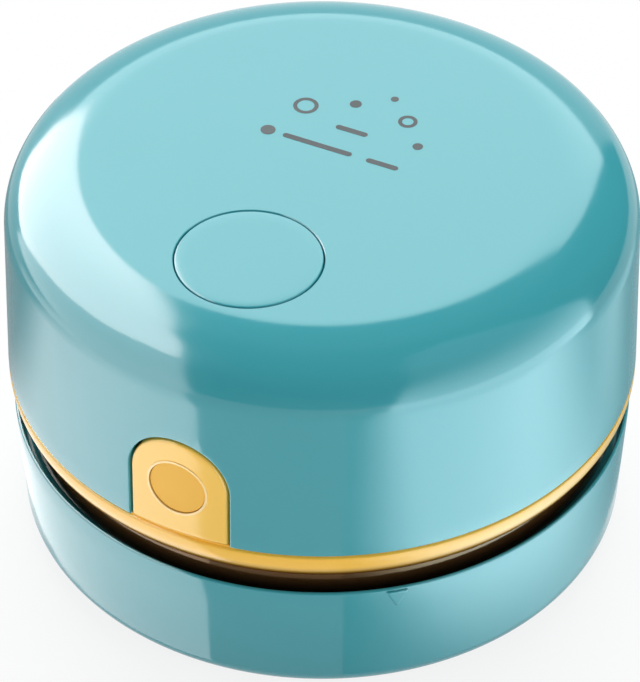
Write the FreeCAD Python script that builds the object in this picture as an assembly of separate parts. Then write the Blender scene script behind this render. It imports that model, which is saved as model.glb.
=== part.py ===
import FreeCAD
import Part
import math
import os

from FreeCAD import Vector

# A desktop mini vacuum cleaner in millimetres, +Z up, with the desk at z = 0.
# The release tab is at the front, -Y. A bearing is an angle in degrees about +Z,
# counted from the front towards +X.

# Clearances
seat_gap = 0.3          # between faces that move against each other
slip_gap = 0.2          # round a piece that is dropped into its place
notch_gap = 0.35        # round the release tab and its leg
run_gap = 0.05          # round a shaft, a bush or a screw's shank
cut_over = 2.0          # how far a cutting shape runs past what it cuts

# Outer form, from the desk up
body_radius = 41.8      # top shell, where its side meets the top round
shell_draft = 0.5       # how much wider the shell is at its rim
lip_inset = 0.5         # base lip inside the shell's rim
ring_draft = 1.0        # how much narrower the base is at its foot
ring_lift = 2.0         # desk to the base ring's bottom edge
ring_height = 18.2
groove_height = 2.8     # the band of dust cup that shows between base and trim
bead_height = 4.3
shell_height = 30.2
top_round = 9.0
foot_round = 3.0
lip_round = 0.35
shell_wall = 2.2

# Base ring and its bayonet
lip_wall = 0.5
lip_gap = 1.0           # dust cup's band to the lip
step_width = 1.7        # ledge inside the lip that the dust cup sits on
step_depth = 2.0        # lip's top down to that ledge
flange_height = 1.6
lug_count = 4
lug_depth = 1.1
lug_height = 1.4
lug_level = 5.4         # base plate's underside to the lugs of the cup
ring_lug_angle = 40.0
cup_lug_angle = 24.0
stop_angle = 3.0
first_lug = 45.0
mark_bearing = 39.4
mark_width = 3.1
mark_height = 3.1
mark_proud = 0.35
mark_drop = 0.1         # lip's top down to the mark

# Base plate, brush and feet
plate_height = 1.4
floor_gap = 1.4         # base plate to the floor of the dust cup
skirt_wall = 1.4
skirt_height = 1.2
brush_width = 2.4
brush_base = 0.7
rail_wall = 0.8
tuft_count = 56
tuft_root = 0.65
tuft_tip = 0.85
tuft_clear = 0.15       # desk to the tips
rib_width = 1.0
plate_rib_count = 6
plate_rib_height = 1.0
foot_count = 3
foot_margin = 2.4       # brush rail in to the feet
foot_radius = 2.6
foot_recess = 0.5
boss_radius = 2.3

# Screws, all of one small size
screw_radius = 0.95
screw_head_radius = 1.8
screw_head_height = 0.8
screw_sink = 0.1        # how far a sunk head stays below its face
base_screw_inset = 5.0  # ring's bore in to its screws
screw_ledge = 1.1       # screw heads in to the flange's edge
base_screw_count = 4
base_screw_length = 2.7
deck_screw_bearings = (333.0, 85.0, 205.0)
deck_screw_length = 6.0
cover_screw_bearings = (50.0, 190.0, 300.0)
cover_screw_length = 6.0
board_screw_bearings = (22.0, 118.0, 160.0)
board_screw_length = 4.0
motor_screw_place = 8.0
motor_screw_bearings = (90.0, 270.0)
motor_screw_length = 2.6

# Dust cup and inlet duct
cup_wall = 1.4
cup_corner = 2.4
duct_radius = 9.4
duct_wall = 1.4
duct_taper = 1.0
duct_flange = 2.1
duct_flange_height = 1.0
duct_height = 13.1
duct_slant = 4.0
duct_reach = 0.8        # how far the duct stays above the base plate's underside
catch_width = 10.0
catch_depth = 1.1
catch_height = 1.0
catch_level = 2.4       # cup's top edge down to the catch bar

# Trim ring and seal
trim_gap = 0.4          # round the cup inside the bead
trim_flange = 1.0
trim_land = 1.0         # how far the trim ring lies on the fan cover
upstand_height = 2.1
upstand_wall = 1.4
bead_foot = 0.3         # width of the flat under the bead
bead_round = 3.4
crease_depth = 0.4
crease_height = 0.25
seal_height = 0.6

# Fan cover, filter and their socket
cover_gap = 1.0         # round the fan cover inside the cup
cover_height = 1.7
eye_radius = 9.0
guard_hub = 2.2
guard_ring = 5.6
guard_height = 1.1
guard_spokes = 4
socket_bore = 23.0
socket_wall = 1.4
socket_height = 3.6
cover_rib_count = 8
cover_rib_height = 1.2
cover_rib_reach = 1.9   # fan cover's edge in to the ends of its ribs
frame_wall = 1.2
frame_rim = 1.2
frame_rim_width = 2.7
frame_ring_shares = (0.35, 0.68)
pull_width = 9.0
pull_depth = 1.8
pull_height = 1.2

# Impeller, shaft and scroll
wheel_radius = 23.0
wheel_plate = 1.0
wheel_gap = 0.6         # back plate to the deck
blade_height = 5.8
blade_count = 11
blade_inner = 9.6
blade_lag = 44.0        # how far a blade's tip trails its root
blade_lag_share = 0.4   # the part of that lag at its middle
blade_angle = 3.6       # its thickness, as an angle about the shaft
binding_width = 1.2
hub_radius = 4.0
shaft_radius = 1.0
fit_gap = 0.02          # a press fit's drawn gap
eye_gap = 0.9           # fan cover to the blades
scroll_start_gap = 2.5  # wheel to the scroll at its tongue
scroll_tongue = 150.0
scroll_turn = 305.0
scroll_wall = 1.4
scroll_steps = 16
exit_gap = 0.4          # duct walls to the shell

# Fan deck and what stands on it
deck_height = 1.6
deck_place_inset = 2.7  # deck's edge in to its screws
collar_wall = 1.4
collar_height = 2.8
post_height = 4.2
saddle_width = 2.0
saddle_share = 0.55     # height of a saddle on the battery's lower half
saddle_place_share = 0.6

# Motor
motor_radius = 12.2
motor_height = 11.0
motor_nose = 3.1
motor_cap_step = 0.8
motor_cap_height = 1.2
bush_radius = 2.2
bush_height = 2.0
rear_bush_height = 0.9
terminal_width = 1.8
terminal_height = 1.4
terminal_thickness = 0.5
terminal_place = 6.5

# Battery
battery_radius = 7.1
battery_end_gap = 2.65  # battery's leads to the shell's bosses
battery_gap = 1.1       # battery to the motor's collar
battery_lift = 1.4      # deck to the battery
tab_strip_width = 6.0
tab_strip_height = 9.0
tab_strip_thickness = 0.3
pad_width = 9.0
pad_length_share = 0.5

# Circuit board and what it carries
board_height = 1.6
board_margin = 2.1      # deck's edge in to the board's
board_gap = 1.0         # round the motor and the bosses
board_left = 3.6        # board's straight edge to the battery
switch_side = 8.4
switch_height = 6.4
plunger_radius = 1.6
plunger_proud = 1.6
plunger_depth = 2.2
socket_length = 7.4
port_width = 8.94
port_height = 3.2
port_wall = 0.35
port_recess = 1.3       # shell's outside in to the port's mouth
tongue_width = 6.7
tongue_height = 0.7
chip_side = 5.0

# Places and sizes of the board's parts: share of the way from the board's inner edge to
# its outer one, bearing, then length, width and height as shares of the largest chip
chip_shares = (
    (0.50, 62.0, 1.00, 1.00, 0.32),
    (0.35, 84.0, 0.50, 0.36, 0.20),
    (0.62, 100.0, 1.20, 1.20, 0.56),
    (0.35, 128.0, 0.64, 0.50, 0.24),
    (0.60, 140.0, 0.56, 0.32, 0.24),
    (0.72, 40.0, 0.40, 0.24, 0.20),
    (0.30, 45.0, 0.40, 0.24, 0.20),
)

# Leads
lead_radius = 0.55
lead_bend = 3.4
lead_rise = 5.0

# Power button
button_radius = 9.5
button_margin = 2.1     # button's edge to where the top round starts
button_edge = 0.25
button_wall = 1.4
button_travel = 1.5
button_top = 2.2
guide_wall = 1.35
guide_height = 3.1
keeper_width = 1.35
keeper_height = 1.2
stem_radius = 2.2
stem_rib = 1.0
stem_rib_count = 4

# Release tab, its dot and its spring
tab_half_width = 6.8
tab_rise = 15.1         # tab's bottom up to its rounded top
tab_thickness = 2.0
tab_travel = 1.5
tab_shelf = 1.5
latch_width = 8.0
latch_thickness = 1.4
latch_inset = 4.9       # shell's rim in to the latch leg's outer face
latch_drop = 7.0        # tab's bottom down to the leg's end
nose_height = 1.2
nose_clear = 0.1        # nose to the catch bar
dot_radius = 4.0
dot_depth = 0.6
dot_level = 7.9         # trim to the dot's centre
dot_rim = 0.35
dot_rim_proud = 0.15
spring_radius = 1.75
spring_wire = 0.3
spring_turns = 4
spring_level = 4.4      # trim up to the spring's axis
spring_nub = 1.1
spring_nub_length = 0.9
seat_thickness = 1.4
seat_width = 7.0
seat_inset = 6.4        # shell's rim in to the spring seat's face

# Exhaust grille and charge port in the shell
slot_count = 9
slot_width = 1.8
slot_height = 4.6
slot_level = 2.4        # shell's rim up to the slots
slot_pitch = 3.5        # degrees from slot to slot
slot_middle = 147.0

# Heights worked out from those sizes
plate_bottom = ring_lift + flange_height
plate_top = plate_bottom + plate_height
lip_z = ring_lift + ring_height
step_z = lip_z - step_depth
bead_bottom = lip_z + groove_height
shell_bottom = bead_bottom + bead_height
shell_top = shell_bottom + shell_height
round_z = shell_top - top_round
floor_bottom = plate_top + floor_gap
floor_top = floor_bottom + cup_wall
shoulder_bottom = step_z + seat_gap
shoulder_top = shoulder_bottom + cup_wall
trim_bottom = shell_bottom - trim_flange
seal_bottom = trim_bottom - seal_height
cup_top = seal_bottom - seat_gap
cup_lug_bottom = plate_bottom + lug_level
ring_lug_bottom = cup_lug_bottom + lug_height + seat_gap
cover_top = trim_bottom
cover_bottom = cover_top - cover_height
socket_bottom = cover_bottom - socket_height
wheel_bottom = cover_top + eye_gap
wheel_plate_bottom = wheel_bottom + blade_height
wheel_top = wheel_plate_bottom + wheel_plate
deck_bottom = wheel_top + wheel_gap
deck_top = deck_bottom + deck_height
motor_top = deck_top + motor_height
cap_top = motor_top + motor_cap_height
battery_z = deck_top + battery_lift + battery_radius
board_bottom = deck_top + post_height
board_top = board_bottom + board_height
switch_top = board_top + switch_height
plunger_top = switch_top + plunger_proud
guide_bottom = shell_top - shell_wall - guide_height
keeper_top = guide_bottom - seat_gap
keeper_bottom = keeper_top - keeper_height
tab_bottom = shell_bottom + seat_gap
tab_round_z = tab_bottom + tab_rise - tab_half_width
shelf_top = tab_bottom + tab_shelf
latch_bottom = tab_bottom - latch_drop
catch_bottom = cup_top - catch_level - catch_height
port_z = board_top + port_height / 2
spring_z = shell_bottom + spring_level
dot_z = shell_bottom + dot_level

# Radii worked out from those sizes
shell_rim_radius = body_radius + shell_draft
shell_bore = shell_rim_radius - shell_wall
ring_lip_radius = shell_rim_radius - lip_inset
ring_foot_radius = ring_lip_radius - ring_draft
screw_hole = screw_radius + run_gap
head_hole = screw_head_radius + slip_gap
lip_bore = ring_lip_radius - lip_wall
ring_bore = lip_bore - step_width
base_screw_place = ring_bore - base_screw_inset
flange_bore = base_screw_place - head_hole - screw_ledge
rail_outer = flange_bore - seat_gap
brush_radius = rail_outer - rail_wall - slip_gap / 2 - brush_width / 2
rail_inner = brush_radius - brush_width / 2 - slip_gap / 2 - rail_wall
foot_place = rail_inner - foot_margin - foot_radius
band_radius = lip_bore - lip_gap
band_bore = band_radius - cup_wall
cup_radius = ring_bore - lug_depth - seat_gap
cup_bore = cup_radius - cup_wall
trim_bore = band_radius + trim_gap
upstand_radius = shell_bore - slip_gap
cover_radius = band_bore - cover_gap
deck_radius = cover_radius
land_bore = cover_radius - trim_land
deck_screw_place = deck_radius - deck_place_inset
cover_screw_place = land_bore - boss_radius - slip_gap
scroll_room = deck_screw_place - head_hole - seat_gap - scroll_wall
scroll_growth = scroll_room - scroll_start_gap - wheel_radius
collar_radius = motor_radius + slip_gap + collar_wall
battery_x = -(collar_radius + battery_gap + battery_radius)
battery_room = deck_screw_place * math.cos(math.radians(deck_screw_bearings[0])) - boss_radius
battery_length = 2 * (battery_room - battery_end_gap - 2 * lead_radius - tab_strip_thickness)
board_inner = collar_radius + board_gap
board_radius = deck_radius - board_margin
board_edge = battery_x + battery_radius + board_left
board_screw_place = (board_inner + board_radius) / 2 + post_height
button_place = body_radius - top_round - button_radius - button_margin
frame_radius = socket_bore - seat_gap
frame_bore = frame_radius - frame_wall
latch_face = -(shell_rim_radius - latch_inset)
latch_back = latch_face + latch_thickness
seat_face = -(shell_rim_radius - seat_inset)
port_mouth = body_radius - port_recess


def at_bearing(radius, bearing):
    """Return the x and y of a point at a radius and a bearing."""
    angle = math.radians(bearing)
    return radius * math.sin(angle), -radius * math.cos(angle)


def on_arc(radius, height, bend, angle):
    """Return the radius and height of a point on an arc about a point of an outline."""
    turn = math.radians(angle)
    return radius + bend * math.cos(turn), height + bend * math.sin(turn)


def turned(shape, bearing):
    """Return a copy of a shape turned from the front to a bearing."""
    copy = shape.copy()
    copy.rotate(Vector(), Vector(0, 0, 1), bearing)
    return copy


def moved(shape, x, y, z=0):
    """Return a copy of a shape moved by x, y and z."""
    copy = shape.copy()
    copy.translate(Vector(x, y, z))
    return copy


def rod(radius, low, high, x=0, y=0):
    """Return an upright cylinder."""
    return Part.makeCylinder(radius, high - low, Vector(x, y, low))


def tube(outer, inner, low, high, x=0, y=0):
    """Return an upright tube."""
    bore = rod(inner, low - cut_over, high + cut_over, x, y)
    return rod(outer, low, high, x, y).cut(bore)


def rod_y(radius, front, back, x, z):
    """Return a cylinder that lies along Y."""
    return Part.makeCylinder(radius, back - front, Vector(x, front, z), Vector(0, 1, 0))


def block(left, right, front, back, low, high):
    """Return a box from its six sides."""
    return Part.makeBox(right - left, back - front, high - low, Vector(left, front, low))


def sector(outer, inner, low, high, bearing, width):
    """Return a piece of a ring, centred on a bearing and so many degrees wide."""
    axis = Vector(0, 0, 1)
    wedge = Part.makeCylinder(outer, high - low, Vector(0, 0, low), axis, width)
    wedge = wedge.cut(rod(inner, low - cut_over, high + cut_over))
    return turned(wedge, bearing - 90 - width / 2)


def closed_face(start, steps, place):
    """Return a flat face from an outline.

    A step is one point for a straight side, or a middle and an end point for an arc.
    An outline that doesn't end at its start is closed with a straight side.
    The place turns a point of the outline into a point in space.
    """
    edges = []
    here = start
    last = steps[-1]
    closed = start in (last, last[1])
    for step in steps if closed else steps + (start,):
        if isinstance(step[0], tuple):
            there = step[1]
            edges.append(Part.Arc(place(here), place(step[0]), place(there)).toShape())
        else:
            there = step
            edges.append(Part.LineSegment(place(here), place(there)).toShape())
        here = there
    return Part.Face(Part.Wire(edges))


def outward(solid):
    """Return a solid with its faces pointing outwards."""
    if solid.Volume < 0:
        solid.reverse()
    return solid


def lathe(start, *steps):
    """Return an outline of radius and height spun about the middle axis."""
    face = closed_face(start, steps, lambda point: Vector(point[0], 0, point[1]))
    return outward(face.revolve(Vector(), Vector(0, 0, 1), 360))


def slab_x(width, start, *steps):
    """Return an outline of y and z as thick as a width, centred on x = 0."""
    face = closed_face(start, steps, lambda point: Vector(-width / 2, point[0], point[1]))
    return outward(face.extrude(Vector(width, 0, 0)))


def slab_y(front, back, start, *steps):
    """Return an outline of x and z that reaches from a front to a back y."""
    face = closed_face(start, steps, lambda point: Vector(point[0], front, point[1]))
    return outward(face.extrude(Vector(0, back - front, 0)))


def slab_z(low, high, start, *steps):
    """Return an outline of x and y that reaches from a low to a high z."""
    face = closed_face(start, steps, lambda point: Vector(point[0], point[1], low))
    return outward(face.extrude(Vector(0, 0, high - low)))


def joined(first, others):
    """Return shapes fused into one."""
    return first.fuse(others).removeSplitter()


def screw_up(place, bearing, head_bottom, length):
    """Return a screw that is driven upwards, with a cross in its head."""
    x, y = at_bearing(place, bearing)
    head_top = head_bottom + screw_head_height
    head = rod(screw_head_radius, head_bottom, head_top, x, y)
    shank = rod(screw_radius, head_top, head_top + length, x, y)
    arm = screw_head_radius / 2
    slot = screw_head_height / 2
    across = block(x - arm, x + arm, y - slot / 2, y + slot / 2, head_bottom - cut_over, head_bottom + slot)
    along = block(x - slot / 2, x + slot / 2, y - arm, y + arm, head_bottom - cut_over, head_bottom + slot)
    return head.fuse(shank).cut([across, along])


def screw_down(place, bearing, head_bottom, length):
    """Return a screw that is driven downwards, with a cross in its head."""
    screw = screw_up(place, bearing, -screw_head_height, length)
    x, y = at_bearing(place, bearing)
    screw.rotate(Vector(x, y, 0), Vector(1, 0, 0), 180)
    return moved(screw, 0, 0, head_bottom)


def shell_form(depth, drop=0):
    """Return the solid under the shell's outer surface, drawn in by a depth.

    The drafted side may run on below the shell's rim by a drop.
    """
    flat = body_radius - top_round
    bend = top_round - depth
    foot = shell_rim_radius - depth + shell_draft * drop / (round_z - shell_bottom)
    return lathe(
        (0, shell_bottom - drop),
        (foot, shell_bottom - drop),
        (body_radius - depth, round_z),
        (on_arc(flat, round_z, bend, 45), (flat, shell_top - depth)),
        (0, shell_top - depth),
    )


def tab_form(gap, front, back):
    """Return the release tab's outline along Y, widened by a gap."""
    half = tab_half_width + gap
    return slab_y(
        front, back,
        (-half, tab_bottom - gap),
        (half, tab_bottom - gap),
        (half, tab_round_z),
        ((0, tab_round_z + half), (-half, tab_round_z)),
    )


def latch_notch(front, low, high):
    """Return the room that the latch leg needs in a piece that it passes."""
    side = latch_width / 2 + notch_gap
    back = latch_back + tab_travel + notch_gap
    return block(-side, side, front, back, low - cut_over, high + cut_over)


def base_ring():
    """The base's outer wall, with its flange, bayonet lugs and raised mark."""
    round_start = ring_foot_radius - foot_round
    wall = lathe(
        (flange_bore, ring_lift),
        (round_start, ring_lift),
        (on_arc(round_start, ring_lift + foot_round, foot_round, -45),
         (ring_foot_radius, ring_lift + foot_round)),
        (ring_lip_radius, lip_z - lip_round),
        (on_arc(ring_lip_radius - lip_round, lip_z - lip_round, lip_round, 45),
         (ring_lip_radius - lip_round, lip_z)),
        (lip_bore, lip_z),
        (lip_bore, step_z),
        (ring_bore, step_z),
        (ring_bore, plate_bottom),
        (flange_bore, plate_bottom),
    )
    pieces = []
    lug_bore = cup_radius + seat_gap
    lug_root = ring_bore + lip_wall / 2
    lug_top = ring_lug_bottom + lug_height
    stop_turn = cup_lug_angle / 2 + stop_angle / 2 + math.degrees(seat_gap / ring_bore)
    for index in range(lug_count):
        bearing = first_lug + index * 360 / lug_count
        pieces.append(
            sector(lug_root, lug_bore, ring_lug_bottom, lug_top, bearing, ring_lug_angle))
        pieces.append(
            sector(lug_root, lug_bore, cup_lug_bottom, lug_top, bearing - stop_turn, stop_angle))
    mark_top = lip_z - lip_round - mark_drop
    mark = slab_y(
        -(ring_lip_radius + mark_proud), -(ring_lip_radius - lip_wall / 2),
        (-mark_width / 2, mark_top),
        (0, mark_top - mark_height),
        (mark_width / 2, mark_top),
    )
    pieces.append(turned(mark, mark_bearing))
    ring = joined(wall, pieces)
    holes = []
    for index in range(base_screw_count):
        x, y = at_bearing(base_screw_place, first_lug + index * 360 / base_screw_count)
        sink = ring_lift + screw_sink + screw_head_height
        holes.append(rod(head_hole, ring_lift - cut_over, sink, x, y))
        holes.append(rod(screw_hole, ring_lift, plate_top, x, y))
    return ring.cut(holes)


def base_plate():
    """The plate inside the ring, with the inlet's skirt, brush rails and screw bosses."""
    plate = rod(ring_bore - slip_gap, plate_bottom, plate_top)
    mouth = duct_radius + seat_gap
    pieces = [
        tube(mouth + skirt_wall, mouth, plate_bottom - skirt_height, plate_top),
        tube(rail_outer, rail_outer - rail_wall, ring_lift, plate_top),
        tube(rail_inner + rail_wall, rail_inner, ring_lift, plate_top),
    ]
    boss_top = floor_bottom - seat_gap
    for index in range(base_screw_count):
        x, y = at_bearing(base_screw_place, first_lug + index * 360 / base_screw_count)
        pieces.append(rod(boss_radius, plate_bottom, boss_top, x, y))
    rib_low = plate_bottom - plate_rib_height
    for index in range(plate_rib_count):
        rib = block(
            -rib_width / 2, rib_width / 2,
            -(rail_inner + rail_wall / 2), -(mouth + skirt_wall / 2), rib_low, plate_top)
        pieces.append(turned(rib, (index + 0.5) * 360 / plate_rib_count))
    plate = joined(plate, pieces)
    holes = [rod(mouth, rib_low - cut_over, plate_top + cut_over)]
    for index in range(base_screw_count):
        x, y = at_bearing(base_screw_place, first_lug + index * 360 / base_screw_count)
        top = ring_lift + screw_sink + screw_head_height + base_screw_length + run_gap
        holes.append(rod(screw_hole, plate_bottom - cut_over, top, x, y))
    for index in range(foot_count):
        x, y = at_bearing(foot_place, index * 360 / foot_count)
        holes.append(
            rod(foot_radius + run_gap, plate_bottom - cut_over, plate_bottom + foot_recess, x, y))
    return plate.cut(holes)


def brush_holder():
    """The strip that carries the bristles, pressed between the two rails."""
    half = brush_width / 2
    return tube(brush_radius + half, brush_radius - half, plate_bottom - brush_base, plate_bottom)


def bristles():
    """The tufts of the brush, each a cone that widens to its tips."""
    low = tuft_clear
    high = plate_bottom - brush_base
    tuft = Part.makeCone(tuft_tip, tuft_root, high - low, Vector(0, -brush_radius, low))
    tufts = [turned(tuft, index * 360 / tuft_count) for index in range(tuft_count)]
    return Part.Compound(tufts)


def feet():
    """The rubber pads that the cleaner stands on, each glued in a recess."""
    pads = []
    for index in range(foot_count):
        x, y = at_bearing(foot_place, index * 360 / foot_count)
        pads.append(rod(foot_radius, 0, plate_bottom + foot_recess, x, y))
    return Part.Compound(pads)


def base_screws():
    """The screws that hold the base plate in its ring."""
    return Part.Compound([
        screw_up(base_screw_place, first_lug + index * 360 / base_screw_count,
                 ring_lift + screw_sink, base_screw_length)
        for index in range(base_screw_count)
    ])


def dust_cup():
    """The see-through cup, with its shoulder, bayonet lugs and catch bar."""
    hole = duct_radius + run_gap
    corner = cup_radius - cup_corner
    inner_corner = cup_corner - cup_wall
    cup = lathe(
        (hole, floor_bottom),
        (corner, floor_bottom),
        (on_arc(corner, floor_bottom + cup_corner, cup_corner, -45),
         (cup_radius, floor_bottom + cup_corner)),
        (cup_radius, shoulder_bottom),
        (band_radius, shoulder_bottom),
        (band_radius, cup_top),
        (band_bore, cup_top),
        (band_bore, shoulder_top),
        (cup_bore, shoulder_top),
        (cup_bore, floor_bottom + cup_corner),
        (on_arc(corner, floor_bottom + cup_corner, inner_corner, -45),
         (corner, floor_top)),
        (hole, floor_top),
    )
    pieces = []
    lug_radius = ring_bore - seat_gap
    root = cup_radius - cup_wall / 2
    for index in range(lug_count):
        bearing = first_lug + index * 360 / lug_count
        pieces.append(sector(lug_radius, root, cup_lug_bottom, cup_lug_bottom + lug_height,
                             bearing, cup_lug_angle))
    catch = block(
        -catch_width / 2, catch_width / 2,
        -(band_bore + cup_wall / 2), -(band_bore - catch_depth),
        catch_bottom, catch_bottom + catch_height)
    pieces.append(catch)
    return joined(cup, pieces)


def inlet_duct():
    """The duct that carries dust up through the cup's floor, with a slanted mouth."""
    low = plate_bottom + duct_reach
    high = low + duct_height
    rim = duct_radius + duct_flange
    flange_top = floor_top + duct_flange_height
    duct = lathe(
        (duct_radius - duct_wall, low),
        (duct_radius, low),
        (duct_radius, floor_top),
        (rim, floor_top),
        (rim, flange_top),
        (duct_radius, flange_top),
        (duct_radius - duct_taper, high),
        (duct_radius - duct_taper - duct_wall, high),
        (duct_radius - duct_wall, flange_top),
    )
    slant = slab_x(
        2 * rim,
        (-duct_radius, high - duct_slant),
        (duct_radius, high),
        (duct_radius, high + cut_over),
        (-duct_radius, high + cut_over),
    )
    return duct.cut(slant)


def trim_ring():
    """The coloured ring between the cup and the shell, with a bead and an upstand."""
    start = trim_bore + bead_foot
    bend_z = bead_bottom + bead_round
    crease = shell_rim_radius - crease_depth
    width = shell_rim_radius - start
    bend = (width * width + bead_round * bead_round) / (2 * width)
    bulge = on_arc(shell_rim_radius - bend, bend_z, bend,
                   -math.degrees(math.asin(bead_round / bend)) / 2)
    ring = lathe(
        (trim_bore, bead_bottom),
        (start, bead_bottom),
        (bulge, (shell_rim_radius, bend_z)),
        (shell_rim_radius, shell_bottom - 2 * crease_height),
        (crease, shell_bottom - crease_height),
        (crease, shell_bottom),
        (upstand_radius, shell_bottom),
        (upstand_radius, shell_bottom + upstand_height),
        (upstand_radius - upstand_wall, shell_bottom + upstand_height),
        (upstand_radius - upstand_wall, shell_bottom),
        (land_bore, shell_bottom),
        (land_bore, trim_bottom),
        (trim_bore, trim_bottom),
    )
    side = tab_half_width + notch_gap
    tab_room = block(-side, side, -crease, latch_back + tab_travel,
                     shell_bottom, shell_bottom + upstand_height + cut_over)
    return ring.cut([tab_room, latch_notch(latch_face - notch_gap, trim_bottom, shell_bottom)])


def cup_seal():
    """The soft gasket under the trim ring that closes on the cup's edge."""
    return tube(band_radius, band_bore, seal_bottom, trim_bottom)


def fan_cover():
    """The plate under the fan, with the guarded eye, the filter's socket and ribs."""
    cover = rod(cover_radius, cover_bottom, cover_top)
    cover = cover.cut(rod(eye_radius, cover_bottom - cut_over, cover_top + cut_over))
    pieces = [
        tube(socket_bore + socket_wall, socket_bore, socket_bottom, cover_top),
        rod(guard_hub, cover_bottom, cover_bottom + guard_height),
        tube(guard_ring + rib_width / 2, guard_ring - rib_width / 2,
             cover_bottom, cover_bottom + guard_height),
    ]
    spoke = block(-rib_width / 2, rib_width / 2, -(eye_radius + rib_width), 0,
                  cover_bottom, cover_bottom + guard_height)
    for index in range(guard_spokes):
        pieces.append(turned(spoke, (index + 0.5) * 360 / guard_spokes))
    rib = block(-rib_width / 2, rib_width / 2,
                -(cover_radius - cover_rib_reach), -(socket_bore + socket_wall / 2),
                cover_bottom - cover_rib_height, cover_top)
    for index in range(cover_rib_count):
        pieces.append(turned(rib, (index + 0.5) * 360 / cover_rib_count))
    cover = joined(cover, pieces)
    holes = [latch_notch(-cover_radius - cut_over, socket_bottom, cover_top)]
    for bearing in cover_screw_bearings:
        x, y = at_bearing(cover_screw_place, bearing)
        sink = cover_bottom + screw_sink + screw_head_height
        holes.append(rod(head_hole, socket_bottom, sink, x, y))
        holes.append(rod(screw_hole, cover_bottom, cover_top + cut_over, x, y))
    return cover.cut(holes)


def cover_screws():
    """The screws that hold the fan cover to the deck's posts."""
    return Part.Compound([
        screw_up(cover_screw_place, bearing, cover_bottom + screw_sink, cover_screw_length)
        for bearing in cover_screw_bearings
    ])


def scroll_point(share, extra=0):
    """Return a point of the scroll's inner face, a share of the way along its turn."""
    radius = wheel_radius + scroll_start_gap + scroll_growth * share + extra
    return at_bearing(radius, scroll_tongue + scroll_turn * share)


def scroll_curve(extra, low):
    """Return the scroll's spiral, drawn out by an extra radius."""
    places = [scroll_point(index / scroll_steps, extra) for index in range(scroll_steps + 1)]
    curve = Part.BSplineCurve()
    curve.interpolate([Vector(x, y, low) for x, y in places])
    return curve.toShape()


def duct_wall_from(share, toward):
    """Return a straight wall of the fan's outlet, from the scroll out to the shell."""
    out_bearing = math.radians(scroll_tongue + scroll_turn)
    run = Vector(math.cos(out_bearing), math.sin(out_bearing), 0)
    side = Vector(run.y, -run.x, 0) * (scroll_wall * toward)
    x, y = scroll_point(share)
    start = Vector(x, y, 0)
    reach = run * shell_rim_radius
    corners = [start, start + reach, start + reach + side, start + side]
    return slab_z(cover_top, deck_top, *[(corner.x, corner.y) for corner in corners])


def scroll():
    """The spiral wall round the impeller and its outlet to the exhaust grille."""
    inner = scroll_curve(0, cover_top)
    outer = scroll_curve(scroll_wall, cover_top)
    starts = Part.LineSegment(inner.firstVertex().Point, outer.firstVertex().Point).toShape()
    ends = Part.LineSegment(inner.lastVertex().Point, outer.lastVertex().Point).toShape()
    face = Part.Face(Part.Wire(Part.__sortEdges__([inner, ends, outer, starts])))
    spiral = outward(face.extrude(Vector(0, 0, deck_top - cover_top)))
    walls = [duct_wall_from(0, -1), duct_wall_from(1, 1)]
    rim = shell_bore - exit_gap - shell_draft
    ledge = upstand_radius - upstand_wall - slip_gap
    room = lathe(
        (0, cover_top),
        (land_bore - slip_gap, cover_top),
        (land_bore - slip_gap, shell_bottom + slip_gap),
        (ledge, shell_bottom + slip_gap),
        (ledge, shell_bottom + upstand_height + slip_gap),
        (rim, shell_bottom + upstand_height + slip_gap),
        (rim, deck_top),
        (0, deck_top),
    )
    return [spiral] + [wall.common(room) for wall in walls]


def fan_deck():
    """The deck over the fan: scroll, posts, motor collar, battery saddles, spring seat."""
    deck = rod(deck_radius, deck_bottom, deck_top)
    pieces = scroll()
    for bearing in cover_screw_bearings:
        x, y = at_bearing(cover_screw_place, bearing)
        pieces.append(rod(boss_radius, cover_top, deck_top, x, y))
    for bearing in board_screw_bearings:
        x, y = at_bearing(board_screw_place, bearing)
        pieces.append(rod(boss_radius, deck_bottom, board_bottom, x, y))
    pieces.append(
        tube(collar_radius, motor_radius + slip_gap, deck_bottom, deck_top + collar_height))
    half = battery_radius * saddle_share
    saddle_y = battery_length / 2 * saddle_place_share
    for y in (-saddle_y, saddle_y):
        saddle = block(
            battery_x - battery_radius, battery_x + battery_radius,
            y - saddle_width / 2, y + saddle_width / 2, deck_bottom, battery_z - half)
        pieces.append(saddle)
    pieces.append(block(-seat_width / 2, seat_width / 2, seat_face, seat_face + seat_thickness,
                        shelf_top + seat_gap, deck_top))
    pieces.append(rod_y(spring_nub, seat_face - spring_nub_length,
                        seat_face + seat_thickness / 2, 0, spring_z))
    deck = joined(deck, pieces)
    holes = [
        rod(motor_nose + slip_gap, deck_bottom - cut_over, deck_top + cut_over),
        rod_y(battery_radius + run_gap, -battery_length, battery_length, battery_x, battery_z),
    ]
    for bearing in cover_screw_bearings:
        x, y = at_bearing(cover_screw_place, bearing)
        tip = cover_bottom + screw_sink + screw_head_height + cover_screw_length + run_gap
        holes.append(rod(screw_hole, cover_top - cut_over, tip, x, y))
    for bearing in board_screw_bearings:
        x, y = at_bearing(board_screw_place, bearing)
        tip = board_top - board_screw_length - run_gap
        holes.append(rod(screw_hole, tip, board_bottom + cut_over, x, y))
    for bearing in deck_screw_bearings:
        x, y = at_bearing(deck_screw_place, bearing)
        holes.append(rod(screw_hole, deck_bottom - cut_over, deck_top + cut_over, x, y))
    for bearing in motor_screw_bearings:
        x, y = at_bearing(motor_screw_place, bearing)
        sink = deck_bottom + screw_sink + screw_head_height
        holes.append(rod(head_hole, deck_bottom - cut_over, sink, x, y))
        holes.append(rod(screw_hole, deck_bottom, deck_top + cut_over, x, y))
    return deck.cut(holes)


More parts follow.
